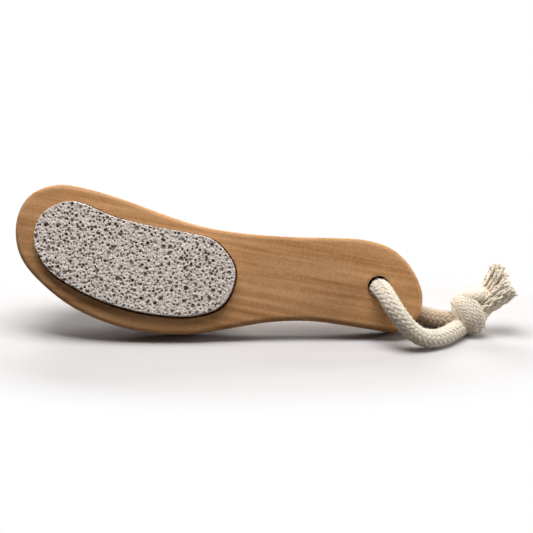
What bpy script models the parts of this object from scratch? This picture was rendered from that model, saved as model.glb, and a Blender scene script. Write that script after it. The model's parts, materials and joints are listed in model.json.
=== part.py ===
"""Pumice foot brush.

A wooden paddle lies on its long edge, leaning back on the bristles behind it. Its
front carries a pumice stone glued into a recess, its back a field of bristle tufts,
and a knotted loop of cotton rope swings in the hole at the end of the handle.

Metres, +Z up. +X runs along the paddle to the rope, -Y to the side of the stone. The
origin is on the ground, under the middle of the brush without its rope.
"""

import math

import bmesh
import bpy
import numpy as np
from mathutils import Matrix, Vector

# Edges sharper than this stay crisp, and lumpy pieces keep fewer of them
crisp_edge_angle = math.radians(35)
crisp_lump_angle = math.radians(50)

# Wooden paddle
board_length = 0.180
board_height = 0.067
board_thickness = 0.016
board_edge_radius = 0.0022
outline_steps = 3
board_edge_segments = 3

# Outline of the paddle from its left end over the top, as shares of length and height
board_outline_shares = (
    (0.000, 0.680), (0.010, 0.830), (0.043, 0.945), (0.105, 1.000), (0.175, 0.972),
    (0.263, 0.900), (0.341, 0.820), (0.420, 0.744), (0.498, 0.690), (0.590, 0.656),
    (0.694, 0.635), (0.800, 0.626), (0.862, 0.610), (0.920, 0.560), (0.963, 0.462),
    (0.990, 0.340), (1.000, 0.215), (0.985, 0.085), (0.935, 0.003), (0.890, 0.016),
    (0.822, 0.046), (0.744, 0.077), (0.685, 0.085), (0.610, 0.074), (0.508, 0.032),
    (0.420, 0.000), (0.330, 0.015), (0.233, 0.072), (0.135, 0.194), (0.056, 0.367),
    (0.013, 0.520),
)

# Rope hole through the handle
hole_radius = 0.0050
hole_from_end = 0.0193
hole_above_edge = 0.0200
hole_sides = 32

# Pumice stone and its glued seat
stone_length = 0.0892
stone_height = 0.0521
stone_from_end = 0.0084
stone_above_edge = 0.0074
stone_proud = 0.0040
stone_rim_radius = 0.0016
stone_rim_segments = 2
recess_depth = 0.0040
recess_clearance = 0.0005
adhesive_thickness = 0.0008
adhesive_inset = 0.0020
seat_gap = 0.0003
cut_overrun = 0.0050

# Outline of the stone from its left end over the top, as shares of length and height
stone_outline_shares = (
    (0.000, 0.690), (0.020, 0.835), (0.075, 0.940), (0.175, 1.000), (0.260, 0.972),
    (0.345, 0.905), (0.445, 0.841), (0.604, 0.775), (0.790, 0.712), (0.885, 0.664),
    (0.945, 0.575), (0.990, 0.455), (1.000, 0.340), (0.975, 0.195), (0.922, 0.080),
    (0.842, 0.022), (0.723, 0.000), (0.525, 0.042), (0.326, 0.146), (0.168, 0.286),
    (0.075, 0.405), (0.015, 0.560),
)

# Bristle tufts, in rows along the head
bristle_length = 0.0200
tuft_pitch = 0.0076
tuft_row_pitch = 0.0070
tuft_rim_inset = 0.0030
tuft_hole_radius = 0.0024
tuft_hole_depth = 0.0060
tuft_root_rise = 0.0004
tuft_sides = 8
tuft_rows_tilt = math.radians(-20.0)
strands_round_tuft = 8
strand_circle_radius = 0.00135
strand_root_radius = 0.00036
strand_tip_radius = 0.00024
strand_splay_share = 2.1
strand_sides = 3
strand_turn_step = 0.7

# Cotton rope
rope_diameter = 0.0084
rope_step = 0.0030
rope_bevel_resolution = 4
rope_joint_gap = 0.0003
route_fineness = 24

# Route of the rope from the knot, over the ground, through the hole and back
rope_route = (
    (0.1073, -0.0194, 0.0048), (0.1046, -0.0228, 0.0045), (0.0992, -0.0300, 0.0043),
    (0.0942, -0.0342, 0.0044), (0.0888, -0.0369, 0.0059), (0.0840, -0.0380, 0.0092),
    (0.0798, -0.0384, 0.0140), (0.0760, -0.0368, 0.0198), (0.0731, -0.0324, 0.0242),
    (0.0713, -0.0273, 0.0259), (0.0707, -0.0230, 0.0250), (0.0707, -0.0192, 0.0236),
    (0.0707, -0.0117, 0.0209), (0.0707, -0.0042, 0.0182), (0.0707, -0.0004, 0.0168),
    (0.0718, 0.0032, 0.0153), (0.0748, 0.0058, 0.0127), (0.0790, 0.0066, 0.0097),
    (0.0838, 0.0054, 0.0069), (0.0886, 0.0014, 0.0050), (0.0932, -0.0025, 0.0044),
    (0.0976, -0.0060, 0.0043), (0.1019, -0.0087, 0.0045), (0.1063, -0.0102, 0.0049),
)

# Knot, as fat wraps of rope round its middle
knot_middle = (0.1116, -0.0150, 0.0103)
knot_core_radius = 0.0064
knot_wrap_radius = 0.0040
knot_wrap_beads = 9
knot_rings = 18
knot_sides = 28
knot_port_margin = 0.0009
knot_probe_steps = 160
knot_least_facing_share = 0.05

# Ends of each wrap, from the middle of the knot
knot_wraps = (
    ((-0.0032, -0.0040, 0.0056), (0.0002, -0.0040, -0.0061)),
    ((-0.0036, 0.0035, 0.0045), (0.0005, 0.0045, -0.0058)),
    ((-0.0035, 0.0000, 0.0064), (0.0032, 0.0030, 0.0066)),
    ((0.0034, -0.0015, -0.0035), (0.0034, 0.0035, 0.0010)),
)

# Frayed tails, each from its root in the knot to the middle of its tip
tail_root_radius = 0.0037
tail_flare_share = 1.45
tail_rounding_share = 0.70
tail_end_share = 1.04
tail_rings = 6
tail_sides = 14
tail_upper_root = (0.1186, -0.0106, 0.0188)
tail_upper_tip = (0.1254, -0.0098, 0.0304)
tail_lower_root = (0.1198, -0.0174, 0.0134)
tail_lower_tip = (0.1308, -0.0180, 0.0218)


def remove_everything():
    for item in list(bpy.data.objects):
        bpy.data.objects.remove(item, do_unlink=True)


def srgb_channel(value):
    share = value / 255
    if share <= 0.04045:
        return share / 12.92
    return ((share + 0.055) / 1.055) ** 2.4


def material(name, red, green, blue, roughness):
    """A plain surface in the colour given as 0 to 255 sRGB numbers."""
    made = bpy.data.materials.new(name)
    made.use_nodes = True
    shader = made.node_tree.nodes["Principled BSDF"]
    colour = [srgb_channel(value) for value in (red, green, blue)]
    shader.inputs["Base Color"].default_value = (*colour, 1.0)
    shader.inputs["Roughness"].default_value = roughness
    shader.inputs["Metallic"].default_value = 0.0
    made.diffuse_color = (*colour, 1.0)
    return made


def add_object(name, data, surface=None, parent=None):
    thing = bpy.data.objects.new(name, data)
    bpy.context.scene.collection.objects.link(thing)
    if surface is not None:
        data.materials.append(surface)
    thing.parent = parent
    return thing


def catmull_rom(before, start, end, after, share):
    """A point on the smooth curve between start and end."""
    square = share * share
    cube = square * share
    return 0.5 * (
        2 * start
        + (end - before) * share
        + (2 * before - 5 * start + 4 * end - after) * square
        + (3 * start - before - 3 * end + after) * cube
    )


def smooth_outline(points, steps):
    """A closed smooth outline through points, with steps points a stretch."""
    points = [np.array(point) for point in points]
    count = len(points)
    outline = []
    for index in range(count):
        corners = [points[(index + offset) % count] for offset in (-1, 0, 1, 2)]
        for step in range(steps):
            outline.append(catmull_rom(*corners, step / steps))
    return np.array(outline)


def inset_outline(outline, distance):
    """The clockwise outline moved inwards, or outwards for a negative distance."""
    along = np.roll(outline, -1, axis=0) - np.roll(outline, 1, axis=0)
    along /= np.linalg.norm(along, axis=1)[:, None]
    inwards = np.stack([along[:, 1], -along[:, 0]], axis=1)
    return outline + inwards * distance


def rim_rings(depth, inwards, radius, segments):
    """Inset and depth of each ring from a plate's face round its rim."""
    if radius == 0:
        return [(0.0, depth)]
    rings = []
    for step in range(segments + 1):
        turn = math.pi / 2 * step / segments
        inset = radius * (1 - math.sin(turn))
        rings.append((inset, depth + inwards * radius * (1 - math.cos(turn))))
    return rings


def slab(outline, front, back, front_radius=0.0, back_radius=0.0, segments=1):
    """A closed plate between two depths along +Y, with rounded rims."""
    front_rings = rim_rings(front, 1, front_radius, segments)
    back_rings = rim_rings(back, -1, back_radius, segments)
    mesh = bmesh.new()
    loops = []
    for inset, depth in front_rings + back_rings[::-1]:
        ring = inset_outline(outline, inset)
        loops.append([mesh.verts.new((x, depth, z)) for x, z in ring])
    for near, far in zip(loops, loops[1:]):
        join_rings(mesh, near, far)
    mesh.faces.new(loops[0])
    mesh.faces.new(loops[-1][::-1])
    return finish_mesh(mesh)


def finish_mesh(mesh, sharp_angle=crisp_edge_angle):
    bmesh.ops.recalc_face_normals(mesh, faces=mesh.faces)
    data = bpy.data.meshes.new("shape")
    mesh.to_mesh(data)
    mesh.free()
    data.shade_smooth()
    data.set_sharp_from_angle(angle=sharp_angle)
    return data


def add_disc(mesh, centre_x, centre_z, depth, radius, sides, twist=0.0):
    """The corners of a regular polygon in the plane at this depth."""
    corners = []
    for side in range(sides):
        turn = 2 * math.pi * side / sides + twist
        x = centre_x + radius * math.cos(turn)
        z = centre_z + radius * math.sin(turn)
        corners.append(mesh.verts.new((x, depth, z)))
    return corners


def join_rings(mesh, near, far):
    for index in range(len(near)):
        following = (index + 1) % len(near)
        mesh.faces.new((near[index], near[following], far[following], far[index]))


def add_peg(mesh, centre_x, centre_z, front, back, radius, sides):
    """A closed prism between two depths."""
    near = add_disc(mesh, centre_x, centre_z, front, radius, sides)
    far = add_disc(mesh, centre_x, centre_z, back, radius, sides)
    join_rings(mesh, near, far)
    mesh.faces.new(near[::-1])
    mesh.faces.new(far)


def cut(body, cutter_name, data):
    """Takes the cutter's shape out of the body and leaves the cutter hidden."""
    cutter = add_object(cutter_name, data, parent=body.parent)
    cutter.hide_render = True
    cutter.display_type = "WIRE"
    modifier = body.modifiers.new(cutter_name, "BOOLEAN")
    modifier.operation = "DIFFERENCE"
    modifier.solver = "EXACT"
    modifier.object = cutter


def place_shares(shares, left, bottom, length, height):
    return [(left + x * length, bottom + z * height) for x, z in shares]


def inside(outline, x, z):
    """Whether the point lies inside the closed outline."""
    found = False
    for start, end in zip(outline, np.roll(outline, -1, axis=0)):
        if (start[1] > z) != (end[1] > z):
            crossing = start[0] + (z - start[1]) * (end[0] - start[0]) / (end[1] - start[1])
            if crossing > x:
                found = not found
    return found


def tuft_places(stone_outline):
    """Middles of the tufts: staggered rows along the head, inside its rim."""
    field = inset_outline(stone_outline, tuft_rim_inset)
    middle = stone_outline.mean(axis=0)
    along = np.array([math.cos(tuft_rows_tilt), math.sin(tuft_rows_tilt)])
    across = np.array([-along[1], along[0]])
    columns = math.ceil(stone_length / tuft_pitch)
    rows = math.ceil(stone_height / tuft_row_pitch)
    places = []
    for row in range(-rows, rows + 1):
        shift = 0.5 * (row % 2)
        for column in range(-columns, columns + 1):
            offset = along * (column + shift) * tuft_pitch + across * row * tuft_row_pitch
            x, z = middle + offset
            if inside(field, x, z):
                places.append((x, z))
    return places


def tuft_mesh(x, z):
    """One tuft: its bound root in the hole and its strands, spread at the tips."""
    root_radius = tuft_hole_radius - seat_gap
    root_end = board_thickness - tuft_hole_depth + seat_gap
    root_top = board_thickness + tuft_root_rise
    tips = board_thickness + bristle_length
    mesh = bmesh.new()
    base = add_disc(mesh, x, z, root_end, root_radius, tuft_sides)
    top = add_disc(mesh, x, z, root_top, root_radius, tuft_sides)
    mesh.faces.new(base[::-1])
    join_rings(mesh, base, top)
    starts = [(0.0, 0.0)]
    for index in range(strands_round_tuft):
        turn = 2 * math.pi * index / strands_round_tuft
        reach = strand_circle_radius
        starts.append((reach * math.cos(turn), reach * math.sin(turn)))
    for index, (side, rise) in enumerate(starts):
        twist = strand_turn_step * index
        root = add_disc(mesh, x + side, z + rise, root_top, strand_root_radius,
                        strand_sides, twist)
        tip = add_disc(mesh, x + side * strand_splay_share, z + rise * strand_splay_share,
                       tips, strand_tip_radius, strand_sides, twist)
        join_rings(mesh, root, tip)
        mesh.faces.new(tip)
    open_edges = [edge for edge in mesh.edges if edge.is_boundary]
    bmesh.ops.triangle_fill(mesh, use_beauty=True, edges=open_edges)
    return finish_mesh(mesh)


def lean_angle(places):
    """How far the paddle leans back to rest on its round edge and its lowest tips."""
    spread = strand_circle_radius * strand_splay_share + strand_tip_radius
    lowest_tip = min(z for x, z in places) - spread
    reach = bristle_length + board_edge_radius
    drop = board_edge_radius - lowest_tip
    return math.asin(board_edge_radius / math.hypot(reach, drop)) - math.atan2(drop, reach)


def smooth_route(points, step):
    """Points an even step apart on a smooth curve through the route's points."""
    points = [np.array(point) for point in points]
    ahead = 2 * points[0] - points[1]
    beyond = 2 * points[-1] - points[-2]
    padded = [ahead, *points, beyond]
    dense = []
    for index in range(1, len(padded) - 2):
        for step_in in range(route_fineness):
            share = step_in / route_fineness
            dense.append(catmull_rom(*padded[index - 1:index + 3], share))
    dense.append(points[-1])
    dense = np.array(dense)
    lengths = np.linalg.norm(np.diff(dense, axis=0), axis=1)
    travelled = np.concatenate([[0.0], np.cumsum(lengths)])
    count = round(travelled[-1] / step) + 1
    stops = np.linspace(0.0, travelled[-1], count)
    return np.stack([np.interp(stops, travelled, dense[:, axis]) for axis in range(3)], axis=1)


def rope_curve(points):
    data = bpy.data.curves.new("rope", "CURVE")
    data.dimensions = "3D"
    spline = data.splines.new("POLY")
    spline.points.add(len(points) - 1)
    for target, point in zip(spline.points, points):
        target.co = (*point, 1.0)
    data.bevel_depth = rope_diameter / 2
    data.bevel_resolution = rope_bevel_resolution
    data.use_fill_caps = True
    return data


def wrap_exit(directions, start, end):
    """How far each ray from the middle runs before it leaves the wrap for good."""
    farthest = np.zeros(len(directions))
    for bead in range(knot_wrap_beads):
        centre = start + (end - start) * bead / (knot_wrap_beads - 1)
        along = directions @ centre
        square = along ** 2 - centre @ centre + knot_wrap_radius ** 2
        reaches = np.where(square > 0, along + np.sqrt(np.maximum(square, 0)), 0)
        farthest = np.maximum(farthest, reaches)
    return farthest


def rope_entry(directions, port, outwards, radius):
    """How far each ray from the middle runs before it enters the rope at a port."""
    steps = np.linspace(0.0, 2 * rope_diameter, knot_probe_steps)
    spots = directions[:, None, :] * steps[None, :, None] - port
    depth = spots @ outwards
    aside = np.linalg.norm(spots - depth[..., None] * outwards, axis=2)
    taken = (depth > 0) & (aside < radius)
    first = np.argmax(taken, axis=1)
    return np.where(taken.any(axis=1), steps[np.maximum(first - 1, 0)], np.inf)


def knot_mesh(ports):
    """The knot's lumpy outside, flat where a rope end meets it.

    Each port is the middle of a rope end, the way that the rope leaves and its radius."""
    middle = np.array(knot_middle)
    directions = [(0.0, 0.0, 1.0)]
    for ring in range(1, knot_rings):
        tilt = math.pi * ring / knot_rings
        for side in range(knot_sides):
            turn = 2 * math.pi * side / knot_sides
            flat = math.sin(tilt)
            directions.append((flat * math.cos(turn), flat * math.sin(turn), math.cos(tilt)))
    directions.append((0.0, 0.0, -1.0))
    directions = np.array(directions)
    reach = np.full(len(directions), knot_core_radius)
    for start, end in knot_wraps:
        reach = np.maximum(reach, wrap_exit(directions, np.array(start), np.array(end)))
    for place, outwards, radius in ports:
        port = np.array(place) - middle - outwards * rope_joint_gap
        wide = radius + knot_port_margin
        reach = np.minimum(reach, rope_entry(directions, port, outwards, wide))
        facing = np.maximum(directions @ outwards, knot_least_facing_share)
        flat_reach = port @ outwards / facing
        aside = np.linalg.norm(directions * flat_reach[:, None] - port, axis=1)
        reach = np.where(aside < wide, flat_reach, reach)
    mesh = bmesh.new()
    corners = [mesh.verts.new(middle + way * far) for way, far in zip(directions, reach)]
    rings = []
    for ring in range(knot_rings - 1):
        first = 1 + ring * knot_sides
        rings.append(corners[first:first + knot_sides])
    for index in range(knot_sides):
        following = (index + 1) % knot_sides
        mesh.faces.new((corners[0], rings[0][index], rings[0][following]))
        mesh.faces.new((corners[-1], rings[-1][following], rings[-1][index]))
    for near, far in zip(rings, rings[1:]):
        join_rings(mesh, near, far)
    return finish_mesh(mesh, crisp_lump_angle)


def tail_mesh(root, tip):
    """A frayed rope end as one soft, flaring bunch with a rounded tip."""
    root = Vector(root)
    way = Vector(tip) - root
    turn = way.to_track_quat("Z", "Y").to_matrix().to_4x4()
    mesh = bmesh.new()
    loops = []
    for ring in range(tail_rings + 1):
        share = ring / tail_rings
        swell = 1 + (tail_flare_share - 1) * math.sin(share * math.pi / 2)
        past = max(0.0, share - tail_rounding_share) / (tail_end_share - tail_rounding_share)
        rounding = math.sqrt(1 - past ** 2)
        radius = tail_root_radius * swell * rounding
        loop = []
        for side in range(tail_sides):
            around = 2 * math.pi * side / tail_sides
            spot = Vector((radius * math.cos(around), radius * math.sin(around),
                           way.length * share))
            loop.append(mesh.verts.new(root + turn @ spot))
        loops.append(loop)
    for near, far in zip(loops, loops[1:]):
        join_rings(mesh, near, far)
    mesh.faces.new(loops[0][::-1])
    mesh.faces.new(loops[-1])
    return finish_mesh(mesh, crisp_lump_angle)


def add_board(frame, board_outline, stone_outline, places):
    wood = material("lacquered_wood", 190, 142, 96, 0.42)
    body = add_object(
        "wooden_body",
        slab(board_outline, 0.0, board_thickness, board_edge_radius, board_edge_radius,
             board_edge_segments),
        wood, frame)
    recess = slab(inset_outline(stone_outline, -recess_clearance), -cut_overrun,
                  recess_depth)
    cut(body, "recess_cutter", recess)
    mesh = bmesh.new()
    add_peg(mesh, board_length - hole_from_end, hole_above_edge, -cut_overrun,
            board_thickness + cut_overrun, hole_radius, hole_sides)
    cut(body, "rope_hole_cutter", finish_mesh(mesh))
    mesh = bmesh.new()
    for x, z in places:
        add_peg(mesh, x, z, board_thickness - tuft_hole_depth,
                board_thickness + cut_overrun, tuft_hole_radius, tuft_sides)
    cut(body, "tuft_hole_cutter", finish_mesh(mesh))


def add_stone(frame, stone_outline):
    pumice = material("pumice", 200, 194, 189, 0.9)
    bed_back = recess_depth - seat_gap
    bed_front = bed_back - adhesive_thickness
    stone_back = bed_front - seat_gap
    stone = slab(stone_outline, -stone_proud, stone_back, stone_rim_radius, 0.0,
                 stone_rim_segments)
    add_object("pumice_stone", stone, pumice, frame)
    glue = material("adhesive", 206, 190, 150, 0.5)
    bed = slab(inset_outline(stone_outline, adhesive_inset), bed_front, bed_back)
    add_object("stone_adhesive", bed, glue, frame)


def add_tufts(frame, places):
    hair = material("natural_bristle", 226, 214, 190, 0.55)
    for index, (x, z) in enumerate(places):
        add_object(f"bristle_tuft_{index + 1:02d}", tuft_mesh(x, z), hair, frame)


def add_rope(loop):
    cotton = material("cotton_rope", 226, 217, 203, 0.85)
    route = smooth_route(rope_route, rope_step)
    radius = rope_diameter / 2
    ports = []
    for end, inner in ((route[0], route[1]), (route[-1], route[-2])):
        outwards = (inner - end) / np.linalg.norm(inner - end)
        ports.append((end, outwards, radius))
    for root, tip in ((tail_upper_root, tail_upper_tip), (tail_lower_root, tail_lower_tip)):
        way = np.array(tip) - np.array(root)
        ports.append((np.array(root), way / np.linalg.norm(way), tail_root_radius))
    add_object("rope_loop", rope_curve(route - np.array(loop.location)), cotton, loop)
    shapes = {
        "rope_knot": knot_mesh(ports),
        "rope_tail_upper": tail_mesh(tail_upper_root, tail_upper_tip),
        "rope_tail_lower": tail_mesh(tail_lower_root, tail_lower_tip),
    }
    for name, data in shapes.items():
        data.transform(Matrix.Translation(-loop.location))
        add_object(name, data, cotton, loop)


def place_on_ground(frame):
    """Sets the frame so that the brush without its rope stands over the origin."""
    bpy.context.view_layer.update()
    graph = bpy.context.evaluated_depsgraph_get()
    corners = []
    for thing in frame.children:
        if thing.hide_render:
            continue
        shape = thing.evaluated_get(graph).to_mesh()
        corners += [thing.matrix_world @ vertex.co for vertex in shape.vertices]
    low = [min(corner[axis] for corner in corners) for axis in range(3)]
    high = [max(corner[axis] for corner in corners) for axis in range(3)]
    frame.location = (-(low[0] + high[0]) / 2, -(low[1] + high[1]) / 2, -low[2])
    bpy.context.view_layer.update()
    print("brush size", [round(b - a, 5) for a, b in zip(low, high)])


def build():
    remove_everything()
    board_outline = smooth_outline(
        place_shares(board_outline_shares, 0.0, 0.0, board_length, board_height),
        outline_steps)
    stone_outline = smooth_outline(
        place_shares(stone_outline_shares, stone_from_end, stone_above_edge,
                     stone_length, stone_height),
        outline_steps)
    places = tuft_places(stone_outline)
    frame = add_object("brush_frame", None)
    lean = lean_angle(places)
    frame.rotation_euler = (-lean, 0.0, 0.0)
    add_board(frame, board_outline, stone_outline, places)
    add_stone(frame, stone_outline)
    add_tufts(frame, places)
    place_on_ground(frame)
    loop = add_object("hanging_loop", None)
    hole_middle = Vector((board_length - hole_from_end, board_thickness / 2, hole_above_edge))
    loop.location = frame.matrix_world @ hole_middle
    add_rope(loop)
    print("tufts", len(places), "lean", round(math.degrees(lean), 3))
    print("frame", [round(value, 6) for value in frame.location])
    print("loop axis", [round(value, 6) for value in loop.location],
          [round(value, 6) for value in frame.matrix_world.to_3x3() @ Vector((0, 1, 0))])


build()
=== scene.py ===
# %% [markdown]
# # Pumice foot brush
# A foot brush has two working sides on one bent wooden paddle. The front holds a block
# of pumice, the back holds rows of bristles, and a knotted loop of cotton rope hangs it
# up to dry. The solids with the true sizes come in first and stay where they are. Every
# piece below is then dressed, or rebuilt, inside the space that its solid holds.

import bpy
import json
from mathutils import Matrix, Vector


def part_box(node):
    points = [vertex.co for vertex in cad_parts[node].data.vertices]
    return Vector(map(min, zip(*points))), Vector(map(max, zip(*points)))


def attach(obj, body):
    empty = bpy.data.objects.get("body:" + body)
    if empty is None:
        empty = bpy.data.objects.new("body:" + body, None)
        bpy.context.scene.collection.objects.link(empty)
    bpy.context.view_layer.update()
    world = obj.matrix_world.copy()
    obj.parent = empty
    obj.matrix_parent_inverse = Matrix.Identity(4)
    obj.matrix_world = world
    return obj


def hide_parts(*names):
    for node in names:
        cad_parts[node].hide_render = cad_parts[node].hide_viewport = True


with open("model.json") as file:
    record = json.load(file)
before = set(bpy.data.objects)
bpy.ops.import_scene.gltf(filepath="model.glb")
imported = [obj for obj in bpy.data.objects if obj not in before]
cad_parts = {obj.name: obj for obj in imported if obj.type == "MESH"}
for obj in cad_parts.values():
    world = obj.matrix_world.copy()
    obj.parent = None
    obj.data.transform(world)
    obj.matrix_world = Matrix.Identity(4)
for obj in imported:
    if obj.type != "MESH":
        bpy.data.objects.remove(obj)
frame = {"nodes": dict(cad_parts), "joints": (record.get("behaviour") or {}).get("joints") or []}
bpy.context.view_layer.update()

# %% [markdown]
# Numpy works out where things go, and bmesh turns lists of corners into faces. A mesh
# can also keep a number or a direction for each of its corners, and node trees read
# these by name. Four small helpers cover that.

# %% Tools used all through
import json
import math
from functools import partial

import bmesh
import numpy as np
from mathutils import Matrix, Vector, noise
from mathutils.geometry import delaunay_2d_cdt
from mathutils.kdtree import KDTree


def add_object(name, data):
    thing = bpy.data.objects.new(name, data)
    bpy.context.scene.collection.objects.link(thing)
    return thing


def corners_of(data):
    """Where a mesh's corners are, one row each."""
    points = np.empty((len(data.vertices), 3), np.float32)
    data.vertices.foreach_get("co", points.ravel())
    return points


def move_corners(data, points):
    data.vertices.foreach_set("co", np.asarray(points, np.float32).ravel())
    data.update()


def store(data, label, values):
    """Keeps a number or a direction for each corner of a mesh."""
    values = np.asarray(values, np.float32)
    kind, field = ("FLOAT", "value") if values.ndim == 1 else ("FLOAT_VECTOR", "vector")
    data.attributes.new(label, kind, "POINT").data.foreach_set(field, values.ravel())


print("Blender", bpy.app.version_string)

# %% [markdown]
# The paddle leans back on its bristles, so the world's axes are awkward for carving it.
# The rope hole gives a better ruler. Its middle is a known point, and its axis points
# straight out of the stone's side. Three directions follow: along the paddle, into the
# wood, and up its face.

# %% The paddle's own ruler
hinge = frame["joints"][0]
hole_middle = np.array(hinge["pos_m"])
outwards = np.array(hinge["axis"]) / np.linalg.norm(hinge["axis"])
along = np.array([1.0, 0.0, 0.0])
upwards = np.cross(outwards, along)
paddle_axes = np.array([along, -outwards, upwards])
lean = math.asin(outwards[2])


def on_paddle(points):
    """World points as distances along, into and up the paddle from the rope hole."""
    return (np.asarray(points) - hole_middle) @ paddle_axes.T


def in_world(points):
    return np.asarray(points) @ paddle_axes + hole_middle


print("the paddle leans back", round(math.degrees(lean), 2), "degrees")

# %% [markdown]
# ## Camera
# The picture looks slightly down on the brush with a long lens, so parallel edges stay
# nearly parallel. The lens follows from one measured length: the paddle covers 407.5
# of the picture's 533 pixels from this distance.

# %% Camera
picture_width = 533
paddle_pixels = 407.5
paddle_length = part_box("wooden_body")[1].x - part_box("wooden_body")[0].x
view_distance = 0.750
view_elevation = math.radians(16.5)
view_roll = math.radians(-0.6)
view_target = Vector((0.0211, -0.0161, 0.0326))

camera_data = bpy.data.cameras.new("camera")
focal_pixels = view_distance * paddle_pixels / paddle_length
camera_data.lens = camera_data.sensor_width * focal_pixels / picture_width
camera = add_object("camera", camera_data)
backwards = Vector((0, -math.cos(view_elevation), math.sin(view_elevation)))
camera.location = view_target + view_distance * backwards
level = (-backwards).to_track_quat("-Z", "Y").to_matrix()
camera.rotation_euler = (level @ Matrix.Rotation(view_roll, 3, "Z")).to_euler()
bpy.context.scene.camera = camera
print("lens", round(camera_data.lens, 1), "mm")

# %% [markdown]
# ## The rope's way
# The rope is one length of soft cotton. From the knot it lies on the ground, rises, enters the hole from
# the front, comes out behind the handle, drops and returns to the knot. Its middle line is a list of given
# points, and a smooth curve runs through them. Both ends tuck a few millimetres into the knot.

# %% The rope's middle line
rope_diameter = 0.0084
rope_route = (
    (0.1073, -0.0194, 0.0048), (0.1046, -0.0228, 0.0045), (0.0992, -0.0300, 0.0043),
    (0.0942, -0.0342, 0.0044), (0.0888, -0.0369, 0.0059), (0.0840, -0.0380, 0.0092),
    (0.0798, -0.0384, 0.0140), (0.0760, -0.0368, 0.0193), (0.0732, -0.0324, 0.0233),
    (0.0716, -0.0273, 0.0247), (0.0709, -0.0230, 0.0241), (0.0708, -0.0192, 0.0229),
    (0.0707, -0.0118, 0.0208), (0.0706, -0.0065, 0.0192), (0.0703, -0.0018, 0.0190),
    (0.0713, 0.0025, 0.0165), (0.0748, 0.0058, 0.0127), (0.0790, 0.0066, 0.0097),
    (0.0838, 0.0054, 0.0069), (0.0886, 0.0014, 0.0050), (0.0932, -0.0025, 0.0044),
    (0.0976, -0.0060, 0.0043), (0.1019, -0.0087, 0.0045), (0.1063, -0.0102, 0.0049),
)
front_tuck = (0.1104, -0.0170, 0.0062)
rear_tuck = (0.1104, -0.0120, 0.0062)
loop_step = 0.00046
curve_fineness = 24


def catmull_rom(before, start, end, after, share):
    """A point on the smooth curve between start and end."""
    square = share * share
    cube = square * share
    return 0.5 * (
        2 * start
        + (end - before) * share
        + (2 * before - 5 * start + 4 * end - after) * square
        + (3 * start - before - 3 * end + after) * cube
    )


def smooth_curve(corners, step, closed=False):
    """Evenly spaced points on a smooth curve. The outermost corners only steer it."""
    dense = [
        catmull_rom(*corners[first:first + 4], share)
        for first in range(len(corners) - 3)
        for share in np.arange(curve_fineness) / curve_fineness
    ]
    dense = np.array(dense + [corners[-2]])
    reach = np.append(0, np.cumsum(np.linalg.norm(np.diff(dense, axis=0), axis=1)))
    count = round(reach[-1] / step) + (0 if closed else 1)
    places = np.linspace(0, reach[-1], count, endpoint=not closed)
    return np.stack([np.interp(places, reach, column) for column in dense.T], axis=1)


def smooth_path(points, step):
    """An open curve through all the points, carried on straight past both ends."""
    points = np.array(points, float)
    before, after = 2 * points[[0, -1]] - points[[1, -2]]
    return smooth_curve(np.vstack([before, points, after]), step)


def path_length(path):
    return float(np.linalg.norm(np.diff(path, axis=0), axis=1).sum())


loop_path = smooth_path((front_tuck, *rope_route, rear_tuck), loop_step)
print("loop:", round(path_length(loop_path) * 1000, 1), "mm of rope")

# %% [markdown]
# The knot ties both ends together. A soft rope squeezes flat where it is pulled round
# itself, so each stretch of the knot has its own width and thickness, as shares of the
# round rope. The broad wrap comes over the top, bulges towards the viewer and tucks
# underneath. Places are measured from the middle of the knot.

# %% The knot's stretches
knot_middle = np.array((0.1116, -0.0150, 0.0103))
knot_stretches = {
    "broad wrap": (1.34, 0.74, (
        (-0.0024, 0.0060, 0.0022), (-0.0036, 0.0038, 0.0046), (-0.0038, 0.0000, 0.0058),
        (-0.0026, -0.0040, 0.0050), (-0.0004, -0.0062, 0.0020), (0.0010, -0.0064, -0.0022),
        (0.0016, -0.0044, -0.0056), (0.0014, -0.0004, -0.0068), (0.0008, 0.0034, -0.0052),
        (0.0000, 0.0058, -0.0012), (-0.0010, 0.0050, 0.0022),
    )),
    "rear wrap": (0.95, 0.78, (
        (-0.0036, -0.0026, -0.0036), (-0.0052, -0.0026, 0.0004), (-0.0050, -0.0006, 0.0040),
        (-0.0042, 0.0034, 0.0046), (-0.0040, 0.0062, 0.0010), (-0.0032, 0.0060, -0.0034),
        (-0.0010, 0.0030, -0.0058),
    )),
    "strand to the upper tail": (1.0, 0.64, (
        (-0.0040, 0.0020, 0.0036), (-0.0022, -0.0006, 0.0072), (0.0014, -0.0018, 0.0084),
        (0.0048, 0.0004, 0.0082), (0.0070, 0.0040, 0.0086),
    )),
    "strand to the lower tail": (0.95, 0.85, (
        (-0.0010, -0.0020, -0.0044), (0.0022, -0.0026, -0.0034), (0.0042, -0.0026, -0.0012),
        (0.0056, -0.0024, 0.0012),
    )),
    "strand through the back": (1.0, 0.85, (
        (-0.0030, 0.0030, -0.0040), (0.0016, 0.0040, -0.0026), (0.0044, 0.0040, 0.0010),
        (0.0050, 0.0030, 0.0050),
    )),
}
print("knot:", len(knot_stretches), "stretches of rope")

# %% [markdown]
# ## One helper for every node tree
# Materials and Geometry Nodes are both made of nodes. A node needs a kind, some
# settings, and for each input either a plain value or a link from another node. Given a
# whole node, the helper links its first output that is in use. Blender's names for the
# kinds start with ShaderNode, GeometryNode or FunctionNode, and the helper finds which.
# A tree that makes a shape also has named inputs, and always ends alike: its instances
# are made real and get their material.

# %% Node helper
node_families = ("ShaderNode", "GeometryNode", "FunctionNode", "")


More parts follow.
